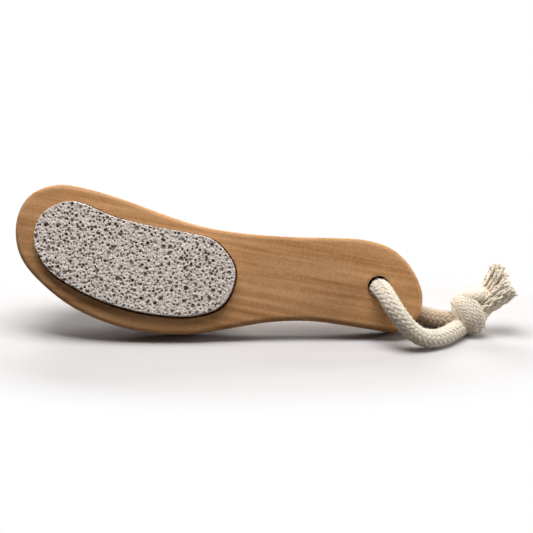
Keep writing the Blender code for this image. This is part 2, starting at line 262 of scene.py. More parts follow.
def add_node(tree, kind, inputs=(), **settings):
    """Adds a node with its settings, and fills its inputs with values, links or whole nodes."""
    family = next(family for family in node_families if hasattr(bpy.types, family + kind))
    made = tree.nodes.new(family + kind)
    for setting, value in settings.items():
        setattr(made, setting, value)
    named = inputs if isinstance(inputs, dict) else dict(enumerate(inputs))
    for key, value in named.items():
        if isinstance(value, bpy.types.Node):
            value = next(socket for socket in value.outputs if socket.enabled)
        if isinstance(value, bpy.types.NodeSocket):
            tree.links.new(value, made.inputs[key])
        else:
            made.inputs[key].default_value = value
    return made


def new_shape_tree(name, sizes):
    """A tree with named inputs and their usual values, its node helper, and its inputs."""
    tree = bpy.data.node_groups.new(name, "GeometryNodeTree")
    kinds = {int: "NodeSocketInt", float: "NodeSocketFloat", type(None): "NodeSocketMaterial"}
    tree.interface.new_socket("Geometry", in_out="INPUT", socket_type="NodeSocketGeometry")
    for label, value in sizes.items():
        made = tree.interface.new_socket(label, in_out="INPUT", socket_type=kinds[type(value)])
        if value is not None:
            made.default_value = value
    tree.interface.new_socket("Geometry", in_out="OUTPUT", socket_type="NodeSocketGeometry")
    node = partial(add_node, tree)
    return tree, node, node("NodeGroupInput").outputs


def finish_shape_tree(tree, shape, material):
    real = add_node(tree, "RealizeInstances", {"Geometry": shape})
    dressed = add_node(tree, "SetMaterial", {"Geometry": real, "Material": material})
    add_node(tree, "NodeGroupOutput", {"Geometry": dressed})
    print(tree.name, "nodes:", len(tree.nodes))
    return tree


print("families of nodes:", len(node_families) - 1)

# %% [markdown]
# ## Braiding
# The rope is a round braid: half of its strands run round it one way, half the other
# way, and each passes over two and under two. Each strand is a pair of cotton yarns
# side by side. It is a helix whose radius rises and falls. In this braid the rise
# depends only on where the strand is round the rope, which is why the floats stand in
# neat columns. That rule suits Geometry Nodes: copy the middle line once for each
# strand, push each copy out to its helix, and sweep the section of two yarns along it.

# %% Section of a strand
strand_width = 0.00078
strand_thickness = 0.00048
strand_sides = 10
groove = 0.4
groove_sharpness = 3.0


def strand_section(node, given):
    """The outline of a strand: two yarns side by side, with a groove between them."""
    ring = node("CurvePrimitiveCircle", {"Resolution": strand_sides, "Radius": 1.0})
    corner = node("SeparateXYZ", (node("InputPosition"),)).outputs
    aside = node("Math", (corner["Y"],), operation="ABSOLUTE")
    inner = node("Math", (1.0, aside), operation="SUBTRACT")
    sharper = node("Math", (inner, groove_sharpness), operation="POWER")
    pinch = node("Math", (sharper, -groove, 1.0), operation="MULTIPLY_ADD")
    tall = node("Math", (pinch, given["Strand thickness"]), operation="MULTIPLY")
    x = node("Math", (corner["X"], tall), operation="MULTIPLY")
    y = node("Math", (corner["Y"], given["Strand width"]), operation="MULTIPLY")
    edged = node("StoreNamedAttribute", {"Geometry": ring, "Name": "aside", "Value": aside})
    return node("SetPosition", {"Geometry": edged, "Position": node("CombineXYZ", (x, y))})


print("half a strand:", [round(size * 1000, 2) for size in (strand_width, strand_thickness)], "mm")

# %% [markdown]
# Two kinds of step come back in several trees. A copy of a middle line is pushed off it,
# so far sideways and so far up, square to the way ahead. And nothing soft lies quite
# evenly, so a slow noise adds a small step to any side.

# %% Steps off a line
wobble = 0.00030
wobble_size = 0.0016


def step_off_line(node, across, above):
    """A step off a curve, so far sideways and so far up, square to the way ahead."""
    side = node("InputNamedAttribute", {"Name": "side"}, data_type="FLOAT_VECTOR")
    up = node("VectorMath", (node("InputTangent"), side), operation="CROSS_PRODUCT")
    sideways = node("VectorMath", {0: side, "Scale": across}, operation="SCALE")
    raised = node("VectorMath", {0: up, "Scale": above}, operation="SCALE")
    return node("VectorMath", (sideways, raised), operation="ADD")


def drift(node, place, size, amount):
    """A small step to any side that changes slowly from place to place."""
    cloud = node("TexNoise", {"Vector": place, "Scale": 1 / size, "Detail": 1.0})
    middle = (0.5, 0.5, 0.5)
    centred = node("VectorMath", (cloud.outputs["Color"], middle), operation="SUBTRACT")
    return node("VectorMath", {0: centred, "Scale": amount}, operation="SCALE")


print("a strand strays up to", wobble / 2 * 1000, "mm to any side")

# %% [markdown]
# Even copies of the middle line run one way round the rope, and odd ones the other. The
# angle grows by one turn for each lay, and a cosine of it lifts the strand over two
# others and sinks it under the next two. All of this is plain sums, worked out for every
# point of every copy.

# %% Angles and heights of the strands
strands_each_way = 12
braid_lay = 0.0280
strand_lift = 0.00030
braid_radius = rope_diameter / 2 - strand_lift - strand_thickness


def strand_angle(node, given, number, reach):
    """Which way round each copy runs, and its angle at each point."""
    odd = node("Math", (number, 2), operation="MODULO")
    hand = node("Math", (odd, 2, -1), operation="MULTIPLY_ADD")
    half = node("Math", (number, 2), operation="DIVIDE")
    strand = node("Math", (half,), operation="FLOOR")
    spread = node("Math", (math.tau, given["Strands each way"]), operation="DIVIDE")
    start = node("Math", (strand, spread), operation="MULTIPLY")
    rate = node("Math", (math.tau, given["Lay"]), operation="DIVIDE")
    turn = node("Math", (reach, rate), operation="MULTIPLY")
    return hand, node("Math", (turn, hand, start), operation="MULTIPLY_ADD")


def strand_height(node, given, hand, angle):
    """How high a strand lies, from -1 under to 1 over the others, and as a radius."""
    columns = node("Math", (given["Strands each way"], 0.5), operation="MULTIPLY")
    phase = node("Math", (angle, columns, -math.pi / 4), operation="MULTIPLY_ADD")
    wave = node("Math", (phase,), operation="COSINE")
    lift = node("Math", (wave, hand), operation="MULTIPLY")
    radius = (lift, given["Lift"], given["Braid radius"])
    return lift, node("Math", radius, operation="MULTIPLY_ADD")


print("one turn round the rope in", braid_lay * 1000, "mm")

# %% [markdown]
# The tree copies the middle line for every strand, pushes each copy out, sideways by the
# cosine of its angle and upwards by the sine, and sweeps the section along it. Each copy
# also keeps how high it lies and how far along the rope it has come, for the colours.

# %% Braid tree


def braid_tree():
    tree, node, given = new_shape_tree("round_braid", {
        "Strands each way": strands_each_way,
        "Lay": braid_lay,
        "Braid radius": braid_radius,
        "Lift": strand_lift,
        "Strand width": strand_width,
        "Strand thickness": strand_thickness,
        "Cotton": None,
    })
    line = node("MeshToCurve", {"Mesh": given["Geometry"]})
    strands = node("Math", (given["Strands each way"], 2), operation="MULTIPLY")
    copies = node("DuplicateElements", {"Geometry": line, "Amount": strands}, domain="SPLINE")
    reach = node("SplineParameter").outputs["Length"]
    hand, angle = strand_angle(node, given, copies.outputs["Duplicate Index"], reach)
    lift, radius = strand_height(node, given, hand, angle)
    parts = []
    for turned, label in (("COSINE", "wide"), ("SINE", "thick")):
        squeeze = node("InputNamedAttribute", {"Name": label}, data_type="FLOAT")
        squeezed = node("Math", (radius, squeeze), operation="MULTIPLY")
        share = node("Math", (angle,), operation=turned)
        parts.append(node("Math", (share, squeezed), operation="MULTIPLY"))
    even = step_off_line(node, *parts)

    # Soft yarn never lies quite where the machine put it
    there = node("VectorMath", (node("InputPosition"), even), operation="ADD")
    offset = node("VectorMath", (even, drift(node, there, wobble_size, wobble)), operation="ADD")
    for label, value, kind in (
        ("lift", lift, "FLOAT"), ("reach", reach, "FLOAT"), ("out", offset, "FLOAT_VECTOR")
    ):
        inputs = {"Geometry": copies, "Name": label, "Value": value}
        copies = node("StoreNamedAttribute", inputs, data_type=kind)
    placed = node("SetPosition", {"Geometry": copies, "Offset": offset})
    out = node("InputNamedAttribute", {"Name": "out"}, data_type="FLOAT_VECTOR")
    steady = node("SetCurveNormal", {"Curve": placed, "Normal": out}, mode="FREE")
    section = strand_section(node, given)
    swept = node("CurveToMesh", {"Curve": steady, "Profile Curve": section, "Fill Caps": True})
    return finish_shape_tree(tree, swept, given["Cotton"])


braid = braid_tree()
print("braid:", strands_each_way * 2, "strands of two yarns")

# %% [markdown]
# The tree needs two things at each point of the middle line: where sideways is, and how
# far the rope is squeezed there. On the loop the sideways direction is carried along
# without twisting. In the knot it lies flat on the lump, so that a squeezed stretch
# spreads over what it is pulled round. The tree then runs as a modifier on the middle
# line, and its result is kept as a plain mesh.

# %% From a middle line to a braided rope


def directions_along(path):
    ahead = np.gradient(path, axis=0)
    return ahead / np.linalg.norm(ahead, axis=1)[:, None]


def carried_sides(path, first):
    """A sideways direction at each point, carried along the path without twisting."""
    side = np.array(first, float)
    sides = []
    for ahead in directions_along(path):
        side = side - side.dot(ahead) * ahead
        side = side / np.linalg.norm(side)
        sides.append(side)
    return np.array(sides)


def flat_sides(path, middle):
    """Sideways directions that lie flat round a middle point."""
    sides = np.cross(directions_along(path), path - middle)
    return sides / np.linalg.norm(sides, axis=1)[:, None]


def middle_line(name, paths):
    """Middle lines as edges. Each path comes with its sides, widths and thicknesses."""
    points, edges, sides, wide, thick = [], [], [], [], []
    for path, path_sides, path_wide, path_thick in paths:
        first = len(points)
        points += path.tolist()
        edges += [(first + i, first + i + 1) for i in range(len(path) - 1)]
        sides.append(path_sides)
        wide.append(np.broadcast_to(path_wide, len(path)))
        thick.append(np.broadcast_to(path_thick, len(path)))
    data = bpy.data.meshes.new(name)
    data.from_pydata(points, edges, [])
    for label, values in (("side", sides), ("wide", wide), ("thick", thick)):
        store(data, label, np.concatenate(values))
    return data


def grow(name, data, tree, values):
    """Runs a node tree on a mesh and returns the result as a plain mesh object."""
    seed = add_object(name + "_seed", data)
    modifier = seed.modifiers.new("grow", "NODES")
    modifier.node_group = tree
    for socket in tree.interface.items_tree:
        if socket.in_out == "INPUT" and socket.name in values:
            modifier[socket.identifier] = values[socket.name]
    graph = bpy.context.evaluated_depsgraph_get()
    mesh = bpy.data.meshes.new_from_object(seed.evaluated_get(graph))
    bpy.data.objects.remove(seed)
    mesh.shade_smooth()
    print(name, "triangles:", sum(len(p.vertices) - 2 for p in mesh.polygons))
    return add_object(name, mesh)


print("points on the loop's middle line:", len(loop_path))

# %% [markdown]
# ## Finishes
# A colour is written as a hex code, as paint charts and browsers do, and one function
# turns it into the linear numbers that shaders work in. A finish is then built up like
# paint: a ground colour, and others over it, each where its own pattern lets it show.

# %% Colours in layers


def paint(code):
    """An sRGB hex colour as the linear numbers that shaders work in."""
    channels = [int(code[i:i + 2], 16) / 255 for i in (1, 3, 5)]
    linear = [c / 12.92 if c <= 0.04045 else ((c + 0.055) / 1.055) ** 2.4 for c in channels]
    return (*linear, 1.0)


def painted(node, ground, *layers):
    """Colours over a ground colour, each laid on as thickly as its share says."""
    colour = paint(ground)
    for share, code in layers:
        colour = node("Mix", {"Factor": share, 6: colour, 7: paint(code)}, data_type="RGBA")
    return colour


def new_material(name):
    """An empty material, and the node helper for its tree."""
    made = bpy.data.materials.new(name)
    made.use_nodes = True
    made.node_tree.nodes.clear()
    return made, partial(add_node, made.node_tree)


def finished(made, shader, output="OutputMaterial"):
    """Ends the node tree of a material or a world in its shader."""
    add_node(made.node_tree, output, {"Surface": shader})
    print(made.name, "nodes:", len(made.node_tree.nodes))
    return made


print("mid grey in linear numbers:", [round(c, 3) for c in paint("#808080")[:3]])

# %% [markdown]
# ### Undyed cotton
# Undyed cotton yarn is cream and quite matt, and a little light passes through it.
# Light that goes down between the yarns comes back warmer and darker, and the colour paints that in as
# shade: a yarn is darker and browner the lower it lies in the braid, and at the sides of each strand, where
# it meets the next. Each yarn is itself twisted from two plies, about one turn in 1.2 mm. The loop takes a
# dimmer copy of the cotton and the knot and the tails a paler one: the difference between them is painted
# shade and painted light. The loop also turns browner from 98 mm along it, and fully so from 120 mm, on the
# stretch behind the handle.

# %% Undyed cotton
# The loop's colours are a dimmer copy and the knot's and tails' a paler one: painted shade and painted
# light.
dim_cotton_top = "#E4D9C6"
# The second colour of each copy is painted shade, for yarns that lie low in the braid.
dim_cotton_painted_shade = "#C3AB89"
lit_cotton_top = "#FBEEDA"
lit_cotton_painted_shade = "#D1BD9B"
cotton_speck = "#DCCDB4"
# A browner colour for the loop from 98 mm along it onwards, behind the handle.
cotton_rear_brown = "#AE8F68"
rear_brown_from = 0.098
rear_brown_to = 0.120
ply_turn = 0.0012
tone_patch = 0.006
light_through = 0.1
light_spread = 0.0008


def undyed_cotton(name, light, deep):
    made, node = new_material(name)
    place = node("TexCoord").outputs["Object"]
    lift, aside, reach = (
        node("Attribute", attribute_name=label).outputs["Fac"] for label in ("lift", "aside", "reach")
    )
    # Painted shade: low yarns and the sides of each strand take the darker colour.
    height = node(
        "MapRange", {"Value": lift, "From Min": -0.8, "From Max": 0.5}, interpolation_type="SMOOTHSTEP"
    )
    clear = node(
        "MapRange", {"Value": aside, "From Min": 0.72, "From Max": 1.0, "To Min": 1.0, "To Max": 0.5}
    )
    height = node("Math", (height, clear), operation="MULTIPLY")
    patches = node("TexNoise", {"Vector": place, "Scale": 1 / tone_patch, "Detail": 4.0})
    patchy = node("MapRange", {"Value": patches, "From Min": 0.45, "From Max": 0.75, "To Max": 0.45})
    # The loop turns browner from 98 to 120 mm along it and stays so to its end.
    changed = node(
        "MapRange", {"Value": reach, "From Min": rear_brown_from, "From Max": rear_brown_to, "To Max": 0.65}
    )
    fibres = node("TexNoise", {"Vector": place, "Scale": 2 / ply_turn, "Detail": 3.0})
    return finished(made, node("BsdfPrincipled", {
        "Base Color": painted(node, deep, (height, light), (patchy, cotton_speck), (changed, cotton_rear_brown)),
        "Roughness": 0.92,
        "Specular IOR Level": 0.3,
        "Sheen Weight": 0.45,
        "Sheen Roughness": 0.7,
        "Subsurface Weight": light_through,
        "Subsurface Radius": (1.0, 0.7, 0.45),
        "Subsurface Scale": light_spread,
        "Normal": node("Bump", {"Strength": 0.5, "Distance": ply_turn / 8, "Height": fibres}),
    }))


# A dimmer copy for the loop and a paler one for the knot and the tails: painted shade and painted light.
dim_painted_cotton = undyed_cotton("dim_painted_undyed_cotton", dim_cotton_top, dim_cotton_painted_shade)
lit_painted_cotton = undyed_cotton("lit_painted_undyed_cotton", lit_cotton_top, lit_cotton_painted_shade)

# %% [markdown]
# The same braid makes the loop and the knot. Inside the paddle's hole a soft rope swells
# and fills it, most of all just behind the front mouth. The knot is pulled tight, so its
# strands are finer and there are more of them.

# %% Braid the loop and the knot
swell_share = 0.16
swell_depth = 0.0050
swell_reach = 0.0060
knot_strands = 18
knot_strand_width = 0.00062
knot_strand_thickness = 0.00042
knot_strand_lift = 0.00020
knot_step = 0.00055

from_swell = (on_paddle(loop_path)[:, 1] - swell_depth) / swell_reach
near_hole = np.linalg.norm(loop_path - hole_middle, axis=1) < 2 * rope_diameter
swell = 1 + swell_share * np.exp(-from_swell ** 2) * near_hole
loop_line = middle_line("loop_line", [(loop_path, carried_sides(loop_path, outwards), swell, swell)])
bare_loop = grow("bare_loop", loop_line, braid, {"Cotton": dim_painted_cotton})

knot_paths = []
for wide, thick, places in knot_stretches.values():
    path = smooth_path(np.array(places) + knot_middle, knot_step)
    knot_paths.append((path, flat_sides(path, knot_middle), wide, thick))
bare_knot = grow("bare_knot", middle_line("knot_line", knot_paths), braid, {
    "Strands each way": knot_strands,
    "Strand width": knot_strand_width,
    "Strand thickness": knot_strand_thickness,
    "Lift": knot_strand_lift,
    "Cotton": lit_painted_cotton,
})

# %% [markdown]
# ### Fuzz
# Cotton is spun from short fibres, and their ends stand out of the yarn, so a used rope
# has a soft edge. A second tree scatters points over the tops of the strands, stands a
# short bent hair on each, turns it at random and joins the hairs to the braid.

# %% Fuzz tree
hairs_a_square_metre = 0.27e6
hair_length = 0.0011
hair_radius = 0.000024
least_hair, greatest_hair = 0.4, 1.3
hair_sides = 3
float_top = 0.1


def swept_tubes(node, line, radius, sides):
    """A thin round tube along each curve, closed at both ends."""
    ring = node("CurvePrimitiveCircle", {"Resolution": sides, "Radius": radius})
    return node("CurveToMesh", {"Curve": line, "Profile Curve": ring, "Fill Caps": True})


def fuzz_tree():
    tree, node, given = new_shape_tree("cotton_fuzz", {
        "Density": hairs_a_square_metre,
        "Hair length": hair_length,
        "Hair radius": hair_radius,
        "Seed": 5,
        "Cotton": None,
    })
    seed = given["Seed"]
    lift = node("InputNamedAttribute", {"Name": "lift"}, data_type="FLOAT")
    on_top = node("Math", (lift, float_top), operation="GREATER_THAN")
    strands = {"Mesh": given["Geometry"], "Selection": on_top, "Density": given["Density"], "Seed": seed}
    roots = node("DistributePointsOnFaces", strands, distribute_method="RANDOM").outputs
    middle = node("CombineXYZ", {"Z": 0.6})
    tip = node("CombineXYZ", {"X": 0.7, "Z": 0.8})
    hair = node("CurveQuadraticBezier", {"Resolution": 2, "Middle": middle, "End": tip})
    luck = node("RandomValue", {2: least_hair, 3: greatest_hair, "Seed": seed}, data_type="FLOAT")
    stood = node("InstanceOnPoints", {
        "Points": roots["Points"],
        "Instance": hair,
        "Rotation": roots["Rotation"],
        "Scale": node("Math", (luck, given["Hair length"]), operation="MULTIPLY"),
    })
    turn = node("RandomValue", {2: 0.0, 3: math.tau, "Seed": seed}, data_type="FLOAT")
    spin = node("CombineXYZ", {"Z": turn})
    turned = node("RotateInstances", {"Instances": stood, "Rotation": spin})
    loose = node("RealizeInstances", {"Geometry": turned})
    hairs = swept_tubes(node, loose, given["Hair radius"], hair_sides)
    pale = node("StoreNamedAttribute", {"Geometry": hairs, "Name": "lift", "Value": 1.0})
    both = node("JoinGeometry")
    for part in (given["Geometry"], pale.outputs["Geometry"]):
        tree.links.new(part, both.inputs["Geometry"])
    return finish_shape_tree(tree, both, given["Cotton"])


fuzz = fuzz_tree()

# %% [markdown]
# The fuzz goes on the loop and the knot. Both lie on the ground, and a soft rope is
# pressed flat there, so what would sink below the ground is raised to it.

# %% Raise the fuzz
rope_loop = grow("cotton_rope_loop", bare_loop.data, fuzz, {"Cotton": dim_painted_cotton})
rope_knot = grow("cotton_rope_knot", bare_knot.data, fuzz, {"Cotton": lit_painted_cotton})
for bare, piece in ((bare_loop, rope_loop), (bare_knot, rope_knot)):
    bpy.data.objects.remove(bare)
    points = corners_of(piece.data)
    print(piece.name, "squeezed by the ground:", round(-points[:, 2].min() * 1000, 2), "mm")
    points[:, 2] = np.maximum(points[:, 2], 0)
    move_corners(piece.data, points)

# %% [markdown]
# ## Frayed ends
# Past the knot both ends are unbraided. Their yarns twist round one another in small
# locks, spread like a brush and keep the waves that the braid pressed into them. Each
# end is a middle line and one tree. It copies the line for every yarn and gives each
# yarn to a lock. The locks fill the rope's section like the seeds of a sunflower, and
# move apart towards the tip.

# %% Locks of yarn
tail_yarns = 100
tail_root = 0.0036
tail_tip = 0.0048
tail_opening = 1.3
lock_count = 22
seed_step = 17.0
golden_angle = math.pi * (3 - math.sqrt(5))


def draw_locks(node, given, copies):
    """Gives each yarn a lock, and draws random numbers for the yarns and the locks."""
    draw = {2: 0.0, 3: given["Locks"], "ID": node("InputIndex"), "Seed": given["Seed"]}
    whole = node("Math", (node("RandomValue", draw, data_type="FLOAT"),), operation="FLOOR")
    member = {"Geometry": copies, "Name": "lock", "Value": whole}
    shared = node("StoreNamedAttribute", member, domain="CURVE")
    lock = node("InputNamedAttribute", {"Name": "lock"}, data_type="FLOAT")
    yarn = node("CurveOfPoint").outputs["Curve Index"]
    luck = []
    for turn, who in enumerate((yarn, yarn, yarn, lock, lock)):
        own_seed = node("Math", (given["Seed"], seed_step * (turn + 1)), operation="ADD")
        luck.append(node("RandomValue", {"ID": who, "Seed": own_seed}, data_type="FLOAT"))
    return shared, lock, luck


def lock_middle(node, given, lock, along_it):
    """How far out the middle of a yarn's lock lies, and at what angle."""
    opened = node("Math", (along_it, tail_opening), operation="POWER")
    radii = {"To Min": given["Root radius"], "To Max": given["Tip radius"]}
    reach = node("MapRange", {"Value": opened, **radii})
    half_on = node("Math", (lock, 0.5), operation="ADD")
    part = node("Math", (half_on, given["Locks"]), operation="DIVIDE")
    share = node("Math", (part,), operation="SQRT")
    lock_reach = node("Math", (share, reach), operation="MULTIPLY")
    return lock_reach, node("Math", (lock, golden_angle), operation="MULTIPLY")


print("yarns in a lock:", round(tail_yarns / lock_count, 1))

# %% [markdown]
# Within its lock a yarn runs round the lock's middle, once in six millimetres, and all
# yarns of a lock share its waves. Each lock is then cut at a length of its own, and a
# small circle is swept along every yarn.

# %% Fray tree
lock_radius = 0.00050
lock_turn = 0.0060
wave_height = 0.00030
wave_length = 0.0055
loose_yarn = 0.00040
loose_yarn_sides = 5
shortest_lock = 0.84


def fray_tree():
    tree, node, given = new_shape_tree("frayed_end", {
        "Yarns": tail_yarns,
        "Root radius": tail_root,
        "Tip radius": tail_tip,
        "Locks": lock_count,
        "Lock radius": lock_radius,
        "Lock turn": lock_turn,
        "Wave height": wave_height,
        "Wave length": wave_length,
        "Yarn radius": loose_yarn,
        "Seed": 4,
        "Cotton": None,
    })
    line = node("MeshToCurve", {"Mesh": given["Geometry"]})
    copies = node("DuplicateElements", {"Geometry": line, "Amount": given["Yarns"]}, domain="SPLINE")
    shared, lock, luck = draw_locks(node, given, copies)
    spline = node("SplineParameter").outputs
    lock_reach, lock_angle = lock_middle(node, given, lock, spline["Factor"])

    # Twist each yarn round its lock's middle, and wave it
    turns = node("Math", (spline["Length"], given["Lock turn"]), operation="DIVIDE")
    turned = node("Math", (luck[0], turns), operation="ADD")
    angle = node("Math", (turned, math.tau), operation="MULTIPLY")
    share = node("Math", (luck[1],), operation="SQRT")
    local = node("Math", (share, given["Lock radius"]), operation="MULTIPLY")
    wave_rate = node("Math", (math.tau, given["Wave length"]), operation="DIVIDE")
    parts = []
    for kind, start in (("COSINE", luck[3]), ("SINE", luck[4])):
        near = node("Math", (angle,), operation=kind)
        aside = node("Math", (lock_angle,), operation=kind)
        far = node("Math", (aside, lock_reach), operation="MULTIPLY")
        place = node("Math", (near, local, far), operation="MULTIPLY_ADD")
        begin = node("Math", (start, math.tau), operation="MULTIPLY")
        phase = node("Math", (spline["Length"], wave_rate, begin), operation="MULTIPLY_ADD")
        wave = node("Math", (phase,), operation="SINE")
        parts.append(node("Math", (wave, given["Wave height"], place), operation="MULTIPLY_ADD"))
    bright = node("Math", (luck[2], 0.5, 0.5), operation="MULTIPLY_ADD")
    marked = node("StoreNamedAttribute", {"Geometry": shared, "Name": "lift", "Value": bright})
    placed = node("SetPosition", {"Geometry": marked, "Offset": step_off_line(node, *parts)})
    lengths = {2: shortest_lock, 3: 1.0, "ID": lock, "Seed": given["Seed"]}
    cut = node("RandomValue", lengths, data_type="FLOAT")
    trimmed = node("TrimCurve", {"Curve": placed, 3: cut}, mode="FACTOR")
    yarns = swept_tubes(node, trimmed, given["Yarn radius"], loose_yarn_sides)
    return finish_shape_tree(tree, yarns, given["Cotton"])


fray = fray_tree()

# %% [markdown]
# Both tails leave the knot's upper right, one behind the other. They use the same tree
# with a seed of their own, and then take the same fuzz as the rope.

# %% Fray both ends
tail_step = 0.0008
tail_paths = {
    "upper": (4, (
        (0.1150, -0.0118, 0.0134), (0.1190, -0.0108, 0.0182),
        (0.1230, -0.0102, 0.0240), (0.1264, -0.0096, 0.0304),
    )),
    "lower": (9, (
        (0.1136, -0.0160, 0.0094), (0.1188, -0.0166, 0.0140),
        (0.1250, -0.0172, 0.0190), (0.1300, -0.0178, 0.0240),
    )),
}
tails = []
for label, (seed, places) in tail_paths.items():
    path = smooth_path(places, tail_step)
    line = middle_line("tail_line", [(path, carried_sides(path, outwards), 1.0, 1.0)])
    bare = grow("bare_tail", line, fray, {"Cotton": lit_painted_cotton, "Seed": seed})
    tails.append(grow("frayed_tail_" + label, bare.data, fuzz, {"Cotton": lit_painted_cotton}))
    bpy.data.objects.remove(bare)

# %% [markdown]
# ## The paddle
# The solid gives the paddle's outline and sizes, so the outline is read from it: the
# ring of corners where the solid is widest, walked in order. A smooth closed curve
# through that ring makes a rim without flats.

# %% Read an outline from a solid
weld_gap = 1e-6


def merged_copy(node):
    """A solid's mesh with its corners joined, on the paddle's ruler."""
    shape = bmesh.new()
    shape.from_mesh(frame["nodes"][node].data)
    bmesh.ops.remove_doubles(shape, verts=shape.verts, dist=weld_gap)
    for vertex in shape.verts:
        vertex.co = Vector(on_paddle(vertex.co))
    return shape


def solid_corners(node):
    """A solid's corners on the paddle's ruler, each of them once."""
    shape = merged_copy(node)
    corners = np.array([v.co for v in shape.verts])
    shape.free()
    return corners


def widest_ring(node):
    """The solid's front-most widest ring in order, with its front, ring and back depths."""
    shape = merged_copy(node)
    widest = max(v.co.x for v in shape.verts)
    ring_depth = min(v.co.y for v in shape.verts if v.co.x > widest - weld_gap)
    members = {v for v in shape.verts if abs(v.co.y - ring_depth) < 10 * weld_gap}
    corner = max(members, key=lambda v: v.co.x)
    ring = [corner]
    while corner is not None:
        others = [edge.other_vert(corner) for edge in corner.link_edges]
        corner = next((v for v in others if v in members and v not in ring), None)
        if corner is not None:
            ring.append(corner)
    points = np.array([(v.co.x, v.co.z) for v in ring])
    depths = [v.co.y for v in shape.verts]
    shape.free()
    return points, min(depths), ring_depth, max(depths)


board_ring, board_front, board_ring_depth, board_back = widest_ring("wooden_body")
stone_ring, stone_front, _, stone_back = widest_ring("pumice_stone")
print("paddle ring:", len(board_ring), "corners, stone ring:", len(stone_ring), "corners")
print("paddle thickness:", round((board_back - board_front) * 1000, 2), "mm")
print("stone stands proud:", round((board_front - stone_front) * 1000, 2), "mm")

# %% [markdown]
# The ring's corners stand wide apart, so the curve that made the rope's middle line is
# used again and rounds them off. Every ring runs clockwise, so outwards lies on its left.

# %% Smooth rings
outline_step = 0.0010


def refined_ring(ring, step):
    """A smooth closed clockwise ring through the given corners, about a step apart."""
    after = np.roll(ring, -1, axis=0)
    if (ring[:, 0] * after[:, 1] - after[:, 0] * ring[:, 1]).sum() > 0:
        ring = ring[::-1]
    return smooth_curve(np.vstack([ring[-1:], ring, ring[:2]]), step, closed=True)


def ring_normals(ring):
    """Directions that point out of a clockwise ring."""
    ahead = np.roll(ring, -1, axis=0) - np.roll(ring, 1, axis=0)
    ahead /= np.linalg.norm(ahead, axis=1)[:, None]
    return np.stack([-ahead[:, 1], ahead[:, 0]], axis=1)


board_outline = refined_ring(board_ring, outline_step)
print("paddle rim:", len(board_outline), "points")

# %% [markdown]
# A slab is a stack of rings. Where the edge is rounded, the rings step inwards along a
# quarter circle. Such stacks make the board and the knife for the stone's seat, and
# stacks of circles make the drills. One helper skins any stack and closes its ends.

# %% Saw the board
rim_steps = 6


def quarter_round(radius, steps):
    """How far in and how deep each ring of a rounded rim lies."""
    turns = np.linspace(0, math.pi / 2, steps + 1)
    return [(radius * (1 - math.sin(t)), radius * (1 - math.cos(t))) for t in turns]


def slab_rings(ring, levels):
    """The rings of a slab: one outline, with an inset and a depth for each level."""
    normals = ring_normals(ring)
    return [[(x, depth, z) for x, z in ring - normals * inset] for inset, depth in levels]


def round_rings(middle, profile, sides):
    """The rings of a round body about the depth axis, from its (radius, depth) steps."""
    turns = np.arange(sides) / sides * math.tau
    return [
        [(middle[0] + radius * math.cos(t), depth, middle[1] + radius * math.sin(t)) for t in turns]
        for radius, depth in profile
    ]


def closed_bodies(name, stacks):
    """A mesh of one closed body for each stack of rings."""
    shape = bmesh.new()
    for rings in stacks:
        loops = [[shape.verts.new(corner) for corner in ring] for ring in rings]
        for near, far in zip(loops, loops[1:]):
            for face in zip(near, near[1:] + near[:1], far[1:] + far[:1], far):
                shape.faces.new(face)
        shape.faces.new(loops[0])
        shape.faces.new(loops[-1][::-1])
    bmesh.ops.recalc_face_normals(shape, faces=shape.faces)
    data = bpy.data.meshes.new(name)
    shape.to_mesh(data)
    shape.free()
    return data


board_rim = quarter_round(board_ring_depth - board_front, rim_steps)
board_levels = [(inset, board_front + depth) for inset, depth in board_rim]
board_levels += [(inset, board_back - depth) for inset, depth in reversed(board_rim)]
board = closed_bodies("board", [slab_rings(board_outline, board_levels)])
paddle = add_object("lacquered_paddle", board)
print("bare board:", len(board.polygons), "faces")

# %% [markdown]
# The bristles sit in drilled blind holes. Each tuft's solid shows where its own hole
# goes: its root is the ring of corners that lies deepest in the wood.

# %% Find the tuft holes
seat_gap = 0.0003
tuft_names = sorted(name for name in frame["nodes"] if name.startswith("bristle_tuft"))
tuft_places = []
tuft_roots = []
for name in tuft_names:
    corners = solid_corners(name)
    root = corners[:, 1].min()
    base = corners[corners[:, 1] < root + seat_gap / 2]
    tuft_places.append((base[:, 0].mean(), base[:, 2].mean()))
    tuft_roots.append(root)
print("tufts:", len(tuft_names), "rooted", round((board_back - min(tuft_roots)) * 1000, 2), "mm deep")

# %% [markdown]
# Three kinds of cutter take wood away from the board: a flat pocket for the stone, a
# through hole for the rope with softened lips, and a blind hole for each tuft. Booleans
# repeat just those steps. The pocket lies a little below and to the right of the stone,
# as it does in the picture.

# %% Carve the paddle
pocket_clearance = 0.0002
pocket_drop = (0.00030, -0.00034)
pocket_lip = 0.0002
cutter_overrun = 0.0020
hole_radius = 0.0050
hole_lip = 0.0006
hole_sides = 64
tuft_hole_radius = 0.0024
tuft_hole_sides = 20
crisp_edge = math.radians(30)


def carve(body, cutters):
    """Cuts the cutters out of a body, one after the other."""
    tools = [add_object("cutter", data) for data in cutters]
    for tool in tools:
        modifier = body.modifiers.new("cut", "BOOLEAN")
        modifier.solver = "EXACT"
        modifier.object = tool
    graph = bpy.context.evaluated_depsgraph_get()
    body.data = bpy.data.meshes.new_from_object(body.evaluated_get(graph))
    body.modifiers.clear()
    for tool in tools:
        bpy.data.objects.remove(tool)


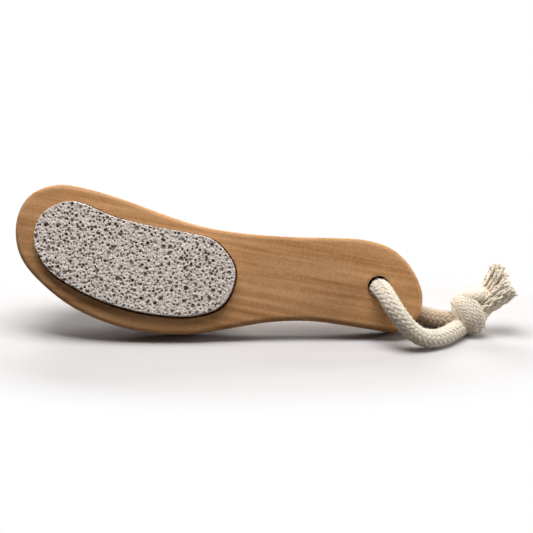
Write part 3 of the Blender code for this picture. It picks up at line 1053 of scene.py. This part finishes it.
pocket = [
    (-pocket_clearance, solid_corners("stone_adhesive")[:, 1].max() + seat_gap),
    (-pocket_clearance, board_front + pocket_lip),
    (-pocket_clearance - pocket_lip, board_front),
    (-pocket_clearance - pocket_lip, board_front - cutter_overrun),
]
mouth = hole_radius + hole_lip
lips = quarter_round(hole_lip, rim_steps)
through = [(mouth, board_front - cutter_overrun)]
through += [(mouth - inset, board_front + depth) for inset, depth in reversed(lips)]
through += [(mouth - inset, board_back - depth) for inset, depth in lips]
through += [(mouth, board_back + cutter_overrun)]
drill = [
    (tuft_hole_radius, min(tuft_roots) - seat_gap),
    (tuft_hole_radius, board_back + cutter_overrun),
]
seat_outline = refined_ring(stone_ring, outline_step) + pocket_drop
carve(paddle, (
    closed_bodies("pocket", [slab_rings(seat_outline, pocket)]),
    closed_bodies("through", [round_rings((0.0, 0.0), through, hole_sides)]),
    closed_bodies("drills", [round_rings(place, drill, tuft_hole_sides) for place in tuft_places]),
))
move_corners(paddle.data, in_world(corners_of(paddle.data)))
paddle.data.shade_smooth()
paddle.data.set_sharp_from_angle(angle=crisp_edge)
print("paddle faces:", len(paddle.data.polygons))

# %% [markdown]
# ### Lacquered wood
# The paddle is a plain tan hardwood under a thin satin lacquer. The eye sees long soft
# streaks of the growth rings, a few millimetres apart and nearly along the handle; short
# ray flecks across them, and dark vessel lines and pale dashes along them, all a few
# tenths of a millimetre wide; and only a faint gloss.

# %% Lacquered wood
wood_light = "#CE9E71"
wood_dark = "#9C6C3F"
vessel_brown = "#80542A"
pale_dash = "#E2BD92"
grain_slant = math.radians(-11)
ring_length, ring_width = 0.070, 0.0028
fleck_length, fleck_width = 0.0006, 0.0020
vessel_length, vessel_width = 0.0018, 0.00035
dash_length, dash_width = 0.0045, 0.00045
cloud_size = 0.020
cloud_weight = 0.12
fleck_weight = 0.30


def grain(node, place, length, width, detail, roughness=0.5):
    """Noise that is stretched along the grain."""
    scale = (1 / length, 1 / width, 1 / width)
    drawn = node("Mapping", {"Vector": place, "Scale": scale})
    return node("TexNoise", {"Vector": drawn, "Scale": 1.0, "Detail": detail, "Roughness": roughness})


def lacquered_wood():
    made, node = new_material("satin_lacquered_wood")
    place = node("TexCoord").outputs["Object"]
    upright = node("Mapping", {"Vector": place, "Location": -Vector(hole_middle), "Rotation": (lean, 0, 0)})
    slanted = node("Mapping", {"Vector": upright, "Rotation": (0, grain_slant, 0)})
    streaks = grain(node, slanted, ring_length, ring_width, 5.0, 0.55)
    flecks = grain(node, slanted, fleck_length, fleck_width, 1.0)
    vessels = grain(node, slanted, vessel_length, vessel_width, 2.0)
    dashes = grain(node, slanted, dash_length, dash_width, 1.0)
    clouds = node("TexNoise", {"Vector": upright, "Scale": 1 / cloud_size, "Detail": 2.0})
    broad = node("Math", (clouds, cloud_weight, streaks), operation="MULTIPLY_ADD")
    together = node("Math", (flecks, fleck_weight, broad), operation="MULTIPLY_ADD")
    tone = node("MapRange", {"Value": together, "From Min": 0.48, "From Max": 0.94})
    vessel = node("MapRange", {"Value": vessels, "From Min": 0.56, "From Max": 0.74, "To Max": 0.4})
    dash = node("MapRange", {"Value": dashes, "From Min": 0.58, "From Max": 0.74, "To Max": 0.22})
    layers = ((tone, wood_light), (vessel, vessel_brown), (dash, pale_dash))
    return finished(made, node("BsdfPrincipled", {
        "Base Color": painted(node, wood_dark, *layers),
        "Roughness": 0.6,
        "Specular IOR Level": 0.08,
        "Coat Weight": 0.05,
        "Coat Roughness": 0.3,
        "Normal": node("Bump", {"Strength": 0.15, "Distance": vessel_width / 4, "Height": vessels}),
    }))


paddle.data.materials.clear()
paddle.data.materials.append(lacquered_wood())

# %% [markdown]
# ## The pumice
# Pumice is a foam of glass: thin pale walls round bubbles of every size, cut open by
# the saw. The bubbles are real hollows here, so that light dies in them. The skin needs
# fine, even triangles, about a quarter of a millimetre wide, so the flat face starts
# from a lattice of points inside the stone's outline.

# %% Points for the stone's face
skin_step = 0.00026
skin_row = skin_step * math.sqrt(3) / 2
skin_margin = 0.7 * skin_step
stone_shrink = 0.00030
stone_rim = 0.0006


def points_inside(ring, points):
    """Which points lie inside a closed ring."""
    found = np.zeros(len(points), bool)
    for (x1, z1), (x2, z2) in zip(ring, np.roll(ring, -1, axis=0)):
        if z1 != z2:
            between = (z1 > points[:, 1]) != (z2 > points[:, 1])
            crossing = x1 + (points[:, 1] - z1) * (x2 - x1) / (z2 - z1)
            found ^= between & (crossing > points[:, 0])
    return found


def lattice(ring):
    """Points of an even triangular lattice inside a ring."""
    low, high = ring.min(axis=0), ring.max(axis=0)
    columns, rows = np.ceil((high - low) / (skin_step, skin_row)).astype(int)
    row, column = np.mgrid[0:rows, 0:columns]
    x = low[0] + (column + 0.5 * (row % 2)) * skin_step
    points = np.stack([x.ravel(), (low[1] + row * skin_row).ravel()], axis=1)
    return points[points_inside(ring, points)]


seat_ring = refined_ring(stone_ring, skin_step)
stone_outline = seat_ring - ring_normals(seat_ring) * stone_shrink
outline_normals = ring_normals(stone_outline)
face_points = lattice(stone_outline - outline_normals * (stone_rim + skin_margin))
print("lattice:", len(face_points), "points")

# %% [markdown]
# A triangulation joins the lattice to the first ring at its edge. Further rings follow
# the rounded rim and the wall, each stitched to the one before, and the hidden back
# stays one plain face. Every point also keeps the direction that leads out of the stone.

# %% A fine skin for the stone
triangle_gap = 1e-9


def stone_skin(normals):
    """The stone's points on the paddle's ruler, their outward directions, and its faces."""
    count = len(stone_outline)
    flat = np.vstack([stone_outline - normals * stone_rim, face_points])
    edges = [(i, (i + 1) % count) for i in range(count)]
    flat = [Vector(point) for point in flat]
    corners, _, faces, *_ = delaunay_2d_cdt(flat, edges, [], 1, triangle_gap)
    faces = [tuple(face) for face in faces]
    points = [(p.x, stone_front, p.y) for p in corners]
    directions = [(0.0, -1.0, 0.0)] * len(points)

    # Each further ring is stitched to the one before: first the rim, then the wall
    rim = quarter_round(stone_rim, round(stone_rim * math.pi / 2 / skin_step))
    levels = [(inset, stone_front + depth, depth / stone_rim) for inset, depth in rim]
    walls = np.arange(stone_front + stone_rim + skin_step, board_front + seat_gap, skin_step)
    levels += [(0.0, depth, 1.0) for depth in (*walls, stone_back)]
    near = list(range(count))
    for inset, depth, turn in levels[1:]:
        far = list(range(len(points), len(points) + count))
        points += [(x, depth, z) for x, z in stone_outline - normals * inset]
        out = min(1.0, math.sqrt(max(0.0, 1 - (1 - turn) ** 2)))
        directions += [(x * out, -math.sqrt(1 - out * out), z * out) for x, z in normals]
        faces += zip(near, near[1:] + near[:1], far[1:] + far[:1], far)
        near = far
    faces.append(tuple(near))
    return np.array(points), np.array(directions), faces


skin_points, skin_directions, skin_faces = stone_skin(outline_normals)
is_skin = skin_points[:, 1] < board_front + seat_gap
stone_data = bpy.data.meshes.new("stone_skin")
stone_data.from_pydata(in_world(skin_points).tolist(), [], skin_faces)
skin_shape = bmesh.new()
skin_shape.from_mesh(stone_data)
bmesh.ops.recalc_face_normals(skin_shape, faces=skin_shape.faces)
skin_shape.to_mesh(stone_data)
skin_shape.free()
print("stone skin:", len(skin_points), "points")

# %% [markdown]
# Sawn pumice sheds crumbs, so its skin is a little rough all over, and it wears. Along
# the right two thirds of its lower rim the pores are rubbed shallower, as the picture
# shows, so the skin keeps a share for each point that says how much of a pore is left.

# %% Crumbs and wear
crumb_depth = 0.00020
crumb_size = 0.0010
worn_reach = np.array((0.030, 0.015))
worn_rim = 0.0035
worn_share = 0.9
worn_fade = 1.3
rim_fade = 1.4

crumbs = np.array([noise.noise(Vector(p) / crumb_size) for p in skin_points])
skin_points += skin_directions * (crumbs * crumb_depth - crumb_depth / 2)[:, None] * is_skin[:, None]
move_corners(stone_data, in_world(skin_points))

outline_tree = KDTree(len(stone_outline))
for index, (x, z) in enumerate(stone_outline):
    outline_tree.insert((x, 0, z), index)
outline_tree.balance()
inset_share = np.array([outline_tree.find((x, 0, z))[2] for x, _, z in skin_points]) / worn_rim
worn_corner = np.array((stone_ring[:, 0].max(), stone_ring[:, 1].min())) + worn_reach * (-1, 1)
from_worn = np.linalg.norm((skin_points[:, [0, 2]] - worn_corner) / worn_reach, axis=1)
wear = np.clip(worn_fade - from_worn, 0, 1) * np.clip(rim_fade - inset_share, 0, 1)
store(stone_data, "outward", skin_directions @ paddle_axes)
store(stone_data, "skin", is_skin * (1 - worn_share * wear))
print("rubbed points:", int((wear > 0).sum()), "by at most", round(worn_share * wear.max(), 2))

# %% [markdown]
# The pores come in three sizes, so one tree makes one size, and it runs three times.
# It scatters points over the skin with a least distance between them, and gives each a
# radius and a depth of its own. Most depths are small.

# %% Scatter the pores
size_labels = ("Spacing", "Least radius", "Greatest radius", "Greatest depth", "Seed")
pore_sizes = (
    (0.0026, 0.0007, 0.0012, 0.0008, 3),
    (0.0013, 0.0004, 0.0008, 0.0007, 8),
    (0.0017, 0.0003, 0.0005, 0.0016, 21),
)
crowding = 4.0
depth_seed_step = 50.0
mostly_shallow = 1.5


def scattered_pores(node, given, skin):
    """The middles of the pores, and each one's radius and depth."""
    seed = given["Seed"]
    square = node("Math", (given["Spacing"], -2.0), operation="POWER")
    crowd = node("Math", (square, crowding), operation="MULTIPLY")
    middles = node("DistributePointsOnFaces", {
        "Mesh": given["Geometry"],
        "Selection": skin,
        "Distance Min": given["Spacing"],
        "Density Max": crowd,
        "Seed": seed,
    }, distribute_method="POISSON")
    radii = {2: given["Least radius"], 3: given["Greatest radius"], "Seed": seed}
    radius = node("RandomValue", radii, data_type="FLOAT")
    depth_seed = node("Math", (seed, depth_seed_step), operation="ADD")
    luck = node("RandomValue", {"Seed": depth_seed}, data_type="FLOAT")
    share = node("Math", (luck, mostly_shallow), operation="POWER")
    return middles, radius, node("Math", (share, given["Greatest depth"]), operation="MULTIPLY")


print("sizes of pore:", len(pore_sizes))

# %% [markdown]
# Then every point of the skin asks for its nearest pore. If it lies within that pore's
# radius it sinks, deepest in the middle, along its own outward direction. It asks from a
# place a little aside, which a slow noise gives, because no pore is a perfect circle.

# %% Pore tree
pore_wander = 0.00035
pore_wander_size = 0.0009
cup_roundness = 0.7


def pore_tree():
    tree, node, given = new_shape_tree(
        "one_size_of_pore", {**dict(zip(size_labels, pore_sizes[0])), "Stone": None}
    )
    skin = node("InputNamedAttribute", {"Name": "skin"}, data_type="FLOAT")
    middles, radius, depth = scattered_pores(node, given, skin)
    place = node("InputPosition")
    aside = drift(node, place, pore_wander_size, pore_wander)
    asked = node("VectorMath", (place, aside), operation="ADD")
    nearest = node("SampleNearest", {"Geometry": middles, "Sample Position": asked})
    its_place, its_radius, its_depth = (
        node("SampleIndex", {"Geometry": middles, "Value": value, "Index": nearest}, data_type=kind)
        for value, kind in ((place, "FLOAT_VECTOR"), (radius, "FLOAT"), (depth, "FLOAT"))
    )
    away = node("VectorMath", (asked, its_place), operation="DISTANCE").outputs["Value"]
    part = node("Math", (away, its_radius), operation="DIVIDE")
    part_square = node("Math", (part, part), operation="MULTIPLY")
    rest = node("Math", (1.0, part_square), operation="SUBTRACT", use_clamp=True)
    cup = node("Math", (rest, cup_roundness), operation="POWER")
    sink = node("Math", (cup, its_depth), operation="MULTIPLY")

    # A worn place sinks less, and every place adds up how deep it lies
    shown = node("Math", (sink, skin), operation="MULTIPLY")
    back = node("Math", (shown, -1.0), operation="MULTIPLY")
    outward = node("InputNamedAttribute", {"Name": "outward"}, data_type="FLOAT_VECTOR")
    offset = node("VectorMath", {0: outward, "Scale": back}, operation="SCALE")
    old = node("InputNamedAttribute", {"Name": "hollow"}, data_type="FLOAT")
    deeper = node("Math", (old, shown), operation="ADD")
    marks = {"Geometry": given["Geometry"], "Name": "hollow", "Value": deeper}
    sunk = node("SetPosition", {"Geometry": node("StoreNamedAttribute", marks), "Offset": offset})
    return finish_shape_tree(tree, sunk, given["Stone"])


pores = pore_tree()

# %% [markdown]
# ### Pumice
# The walls between the pores are a warm pale grey, dusty and dead matt, and where they are thinnest they
# are nearly white. The hollows are darker: partly painted shade, for the light that is lost in them, and
# partly the grey dust that settles in them. Bubbles too fine for the skin's triangles are drawn about 0.75
# mm apart, coarser than the real ones, so that they show: a dark speck in the middle of each, which is
# painted shade, a pale wall between them, and a little bump.

# %% Pumice
pumice_wall = "#CBBEB5"
pumice_crest = "#F4EDE8"
# The deep and hollow colours are partly painted shade inside the pores and partly dust.
pumice_deep = "#342D29"
pumice_shade = "#BAADA5"
pumice_hollow = "#887B73"
fine_pore = 0.00075
stone_patch = 0.004


def pumice():
    made, node = new_material("sawn_pumice")
    place = node("TexCoord").outputs["Object"]
    hollow = node("Attribute", attribute_name="hollow").outputs["Fac"]
    # Deeper points take darker colours: partly painted shade, partly dust.
    shallow = node("MapRange", {"Value": hollow, "From Min": 0.00005, "From Max": 0.00040})
    deep = node("MapRange", {"Value": hollow, "From Min": 0.00055, "From Max": 0.00130})
    patches = node("TexNoise", {"Vector": place, "Scale": 1 / stone_patch, "Detail": 6.0, "Roughness": 0.7})
    patchy = node("MapRange", {"Value": patches, "From Min": 0.42, "From Max": 0.68, "To Max": 0.5})
    cells = node("TexVoronoi", {"Vector": place, "Scale": 1 / fine_pore, "Randomness": 1.0})
    crest = node("MapRange", {"Value": cells, "From Min": 0.42, "From Max": 0.75, "To Max": 0.8})
    # Painted shade: a dark speck inside each bubble too fine for the triangles.
    speck = node(
        "MapRange", {"Value": cells, "From Min": 0.12, "From Max": 0.3, "To Min": 0.45, "To Max": 0.0}
    )
    colour = painted(
        node,
        pumice_wall,
        (patchy, pumice_shade),
        (crest, pumice_crest),
        (speck, pumice_deep),
        (shallow, pumice_hollow),
        (deep, pumice_deep),
    )
    return finished(made, node("BsdfPrincipled", {
        "Base Color": colour,
        "Roughness": 0.95,
        "IOR": 1.45,
        "Normal": node("Bump", {"Strength": 0.6, "Distance": fine_pore / 5, "Height": cells}),
    }))


stone_finish = pumice()

# %% [markdown]
# The tree now runs once for each size of pore, the widest first. Each run starts from
# the skin that the last one left, and adds to how deep every point lies.

# %% Open the pores
store(stone_data, "hollow", np.zeros(len(skin_points)))
for layer, size in enumerate(pore_sizes):
    if layer > 0:
        bpy.data.objects.remove(stone)
    values = dict(zip(size_labels, size))
    stone = grow("pumice_block", stone_data, pores, {**values, "Stone": stone_finish})
    stone_data = stone.data

# %% [markdown]
# ## Glue
# A bed of white wood glue holds the stone. It shows only as a thin line deep in the gap
# round the stone, so its solid keeps its plain shape and gets its finish. Dried glue is
# smooth, slightly shiny and faintly rippled.

# %% White wood glue
glue_white = "#E6DFCF"
ripple_size = 1 / 900


def wood_glue():
    made, node = new_material("dried_white_wood_glue")
    place = node("TexCoord").outputs["Object"]
    ripple = node("TexNoise", {"Vector": place, "Scale": 1 / ripple_size, "Detail": 3.0})
    return finished(made, node("BsdfPrincipled", {
        "Base Color": paint(glue_white),
        "Roughness": 0.4,
        "IOR": 1.47,
        "Normal": node("Bump", {"Strength": 0.3, "Distance": 0.0001, "Height": ripple}),
    }))


glue = frame["nodes"]["stone_adhesive"]
glue.data.materials.clear()
glue.data.materials.append(wood_glue())

# %% [markdown]
# ## Bristles
# Each drilled hole on the back holds a tuft of natural bristles, folded over a wire
# and pressed in, so they stand tight at the wood and spread a little at the tips. The
# first tuft's solid gives the length of a bristle and how wide a tuft opens.

# %% Measure a tuft
tip_wander = 0.0008

tuft_corners = solid_corners(tuft_names[0])
tuft_root, tuft_tip = tuft_corners[:, 1].min(), tuft_corners[:, 1].max()
tip_line = tuft_corners[tuft_corners[:, 1] > tuft_tip - tip_wander, 0]
tip_radius = (tip_line.max() - tip_line.min()) / 2
print("bristles:", round((tuft_tip - tuft_root) * 1000, 1), "mm long")
print("tip radius of a tuft:", round(tip_radius * 1000, 2), "mm")

# %% [markdown]
# One tree makes all the bristles. It first copies each hole's middle once for each
# bristle and scatters the copies over the hole. Each copy keeps the way that it leans,
# a small stray of its own for the tip, and a tone.

# %% Scatter the bristles
bristles_a_tuft = 80
bristle_seed_step = 13.0
tuft_radius = 0.0020


def bristle_roots(node, given):
    """A point in its hole for every bristle, with its aim, its stray and its tone."""
    roots = node("MeshToPoints", {"Mesh": given["Geometry"]})
    copies = node("DuplicateElements", {"Geometry": roots, "Amount": given["Bristles"]}, domain="POINT")
    luck = []
    for turn in range(5):
        seed = node("Math", (given["Seed"], turn * bristle_seed_step), operation="ADD")
        luck.append(node("RandomValue", {"Seed": seed}, data_type="FLOAT"))
    angle = node("Math", (luck[0], math.tau), operation="MULTIPLY")
    share = node("Math", (luck[1],), operation="SQRT")
    x, z = (node("Math", (angle,), operation=kind) for kind in ("COSINE", "SINE"))
    aim = node("VectorMath", {0: node("CombineXYZ", {"X": x, "Z": z}), "Scale": share}, operation="SCALE")
    x, z = (node("Math", (part, 0.5), operation="SUBTRACT") for part in luck[2:4])
    away = node("CombineXYZ", {"X": x, "Z": z})
    stray = node("VectorMath", {0: away, "Scale": given["Tip wander"]}, operation="SCALE")
    for label, value, kind in (
        ("aim", aim, "FLOAT_VECTOR"), ("stray", stray, "FLOAT_VECTOR"), ("tone", luck[4], "FLOAT")
    ):
        inputs = {"Geometry": copies, "Name": label, "Value": value}
        copies = node("StoreNamedAttribute", inputs, data_type=kind)
    start = node("VectorMath", {0: aim, "Scale": given["Tuft radius"]}, operation="SCALE")
    return node("SetPosition", {"Geometry": copies, "Offset": start})


print("bristles in all:", bristles_a_tuft * len(tuft_names))

# %% [markdown]
# A jointed line then stands on each copy and bends outwards, more and more towards its
# tip, and a tiny circle is swept along it.

# %% Bristle tree
bristle_radius = 0.00014
bristle_sides = 3
bristle_knots = 5
bristle_bend = 1.6


def bristle_tree():
    tree, node, given = new_shape_tree("tufts_of_bristles", {
        "Bristles": bristles_a_tuft,
        "Tuft radius": tuft_radius,
        "Tip radius": float(tip_radius - bristle_radius),
        "Length": float(tuft_tip - tuft_root),
        "Bristle radius": bristle_radius,
        "Tip wander": tip_wander,
        "Seed": 2,
        "Bristle": None,
    })
    roots = bristle_roots(node, given)
    stick = node("CurvePrimitiveLine", {"End": node("CombineXYZ", {"Y": given["Length"]})})
    jointed = node("ResampleCurve", {"Curve": stick, "Count": bristle_knots})
    along_it = node("SplineParameter").outputs["Factor"]
    ranged = node("StoreNamedAttribute", {"Geometry": jointed, "Name": "rise", "Value": along_it})
    stood = node("InstanceOnPoints", {"Points": roots, "Instance": ranged})
    real = node("RealizeInstances", {"Geometry": stood})
    aim, stray, rise = (
        node("InputNamedAttribute", {"Name": label}, data_type=kind)
        for label, kind in (("aim", "FLOAT_VECTOR"), ("stray", "FLOAT_VECTOR"), ("rise", "FLOAT"))
    )
    bend = node("Math", (rise, bristle_bend), operation="POWER")
    opening = node("Math", (given["Tip radius"], given["Tuft radius"]), operation="SUBTRACT")
    lean_out = node("Math", (bend, opening), operation="MULTIPLY")
    outer = node("VectorMath", {0: aim, "Scale": lean_out}, operation="SCALE")
    strayed = node("VectorMath", {0: stray, "Scale": bend}, operation="SCALE")
    offset = node("VectorMath", (outer, strayed), operation="ADD")
    bent = node("SetPosition", {"Geometry": real, "Offset": offset})
    hairs = swept_tubes(node, bent, given["Bristle radius"], bristle_sides)
    return finish_shape_tree(tree, hairs, given["Bristle"])


bristle_grower = bristle_tree()

# %% [markdown]
# ### Boar bristle
# Blond boar bristle is a stiff, pale straw-coloured hair with a soft shine along it. No
# two hairs have quite the same tone, and each is a little darker at its root.

# %% Boar bristle
bristle_light = "#E9D8B4"
bristle_dark = "#B8935C"


def boar_bristle():
    made, node = new_material("blond_boar_bristle")
    tone, rise = (node("Attribute", attribute_name=label).outputs["Fac"] for label in ("tone", "rise"))
    both = node("Math", (tone, rise), operation="ADD")
    pale = node("MapRange", {"Value": both, "From Max": 1.6})
    return finished(made, node("BsdfPrincipled", {
        "Base Color": painted(node, bristle_dark, (pale, bristle_light)),
        "Roughness": 0.38,
        "IOR": 1.55,
    }))


bristle_finish = boar_bristle()

# %% [markdown]
# One point at the bottom of each hole is all that the tree needs. The tufts grow on the
# paddle's ruler, straight out of the wood, and are then moved to their place.

# %% Plant the bristles
hole_bottoms = bpy.data.meshes.new("hole_bottoms")
hole_bottoms.from_pydata([(x, tuft_root, z) for x, z in tuft_places], [], [])
bristles = grow("boar_bristles", hole_bottoms, bristle_grower, {"Bristle": bristle_finish})
move_corners(bristles.data, in_world(corners_of(bristles.data)))

# %% [markdown]
# ## Floor, lamps and background
# The brush stands on a plain pale floor that keeps its soft shadow. Rays that only show
# the surroundings, straight from the camera, in a gloss or through glass, see a pale
# floor that turns white further out. For all other rays the floor is a darker grey, so
# that it throws little light back up.

# %% Floor
floor_size = 3.0
floor_pale = "#CBC8C8"
floor_shade = "#7A7673"
fade_middle = (0.020, -0.010, 0.0)
fade_reach = (0.125, 0.070, 1.0)
fade_end = 1.5
white = (1, 1, 1, 1)


def seen_or_mirrored(node):
    """1 for rays that show the surroundings, straight, in a gloss or through glass."""
    rays = node("LightPath").outputs
    straight = node("Math", (rays["Is Camera Ray"], rays["Is Glossy Ray"]), operation="MAXIMUM")
    return node("Math", (straight, rays["Is Transmission Ray"]), operation="MAXIMUM")


def pale_floor():
    made, node = new_material("pale_floor")
    place = node("TexCoord").outputs["Object"]
    from_middle = node("VectorMath", (place, fade_middle), operation="SUBTRACT")
    shares = node("VectorMath", (from_middle, fade_reach), operation="DIVIDE")
    away = node("VectorMath", (shares,), operation="LENGTH").outputs["Value"]
    fade = node(
        "MapRange", {"Value": away, "From Min": 1.0, "From Max": fade_end}, interpolation_type="SMOOTHSTEP"
    )
    seen = seen_or_mirrored(node)
    share = node("Math", (fade, seen), operation="MULTIPLY")
    matt = node("BsdfDiffuse", {"Color": painted(node, floor_shade, (seen, floor_pale))})
    return finished(made, node("MixShader", (share, matt, node("Emission", {"Color": white}))))


floor_data = bpy.data.meshes.new("floor")
edge = floor_size / 2
floor_corners = [(-edge, -edge, 0), (edge, -edge, 0), (edge, edge, 0), (-edge, edge, 0)]
floor_data.from_pydata(floor_corners, [], [(0, 1, 2, 3)])
floor_data.materials.append(pale_floor())
floor = add_object("floor", floor_data)
print("floor:", floor_size, "m wide")

# %% [markdown]
# Four broad lamps light the brush: one above, one behind and two on the rope's side. A
# weak even sky fills what they leave, and the rays that show the surroundings see it as
# plain white.

# %% Sky and lamps
sky_fill = 0.02
lamps = {
    "top_lamp": ((-0.05, -0.085, 0.61), (0.50, 0.34), 5.1),
    "back_lamp": ((-0.10, 0.75, 0.50), (0.50, 0.50), 5.5),
    "rear_side_lamp": ((0.70, 0.35, 0.25), (0.40, 0.40), 2.4),
    "side_lamp": ((0.80, -0.22, 0.22), (0.40, 0.40), 2.4),
}


def pale_sky():
    world = bpy.data.worlds.new("pale_sky")
    world.use_nodes = True
    world.node_tree.nodes.clear()
    node = partial(add_node, world.node_tree)
    strength = node("MapRange", {"Value": seen_or_mirrored(node), "To Min": sky_fill, "To Max": 1.0})
    return finished(world, node("Background", {"Color": white, "Strength": strength}), "OutputWorld")


for name, (place, size, power) in lamps.items():
    lamp_data = bpy.data.lights.new(name, "AREA")
    lamp_data.shape = "RECTANGLE"
    lamp_data.size, lamp_data.size_y = size
    lamp_data.energy = power
    lamp = add_object(name, lamp_data)
    lamp.location = place
    lamp.rotation_euler = (-Vector(place)).to_track_quat("-Z", "Y").to_euler()

bpy.context.scene.world = pale_sky()
bpy.context.scene.view_settings.view_transform = "Standard"
print("lamps:", len(lamps))

# %% [markdown]
# ## Fastening
# Every piece rides on the body whose solids it stands for, so the knot and the tails swing with the loop.

# %% Fasten every piece to its body
for piece, body, slot_name, nodes in (
    (paddle, "brush", "lacquered_wood", ["wooden_body"]),
    (stone, "brush", "pumice", ["pumice_stone"]),
    (rope_loop, "hanging_loop", "cotton_rope", ["rope_loop"]),
    (rope_knot, "hanging_loop", "cotton_rope", ["rope_knot"]),
    (tails[0], "hanging_loop", "cotton_rope", ["rope_tail_upper"]),
    (tails[1], "hanging_loop", "cotton_rope", ["rope_tail_lower"]),
    (bristles, "brush", "natural_bristle", tuft_names),
):
    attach(piece, body)
    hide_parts(*nodes)
    print(piece.name, "rides on", body)
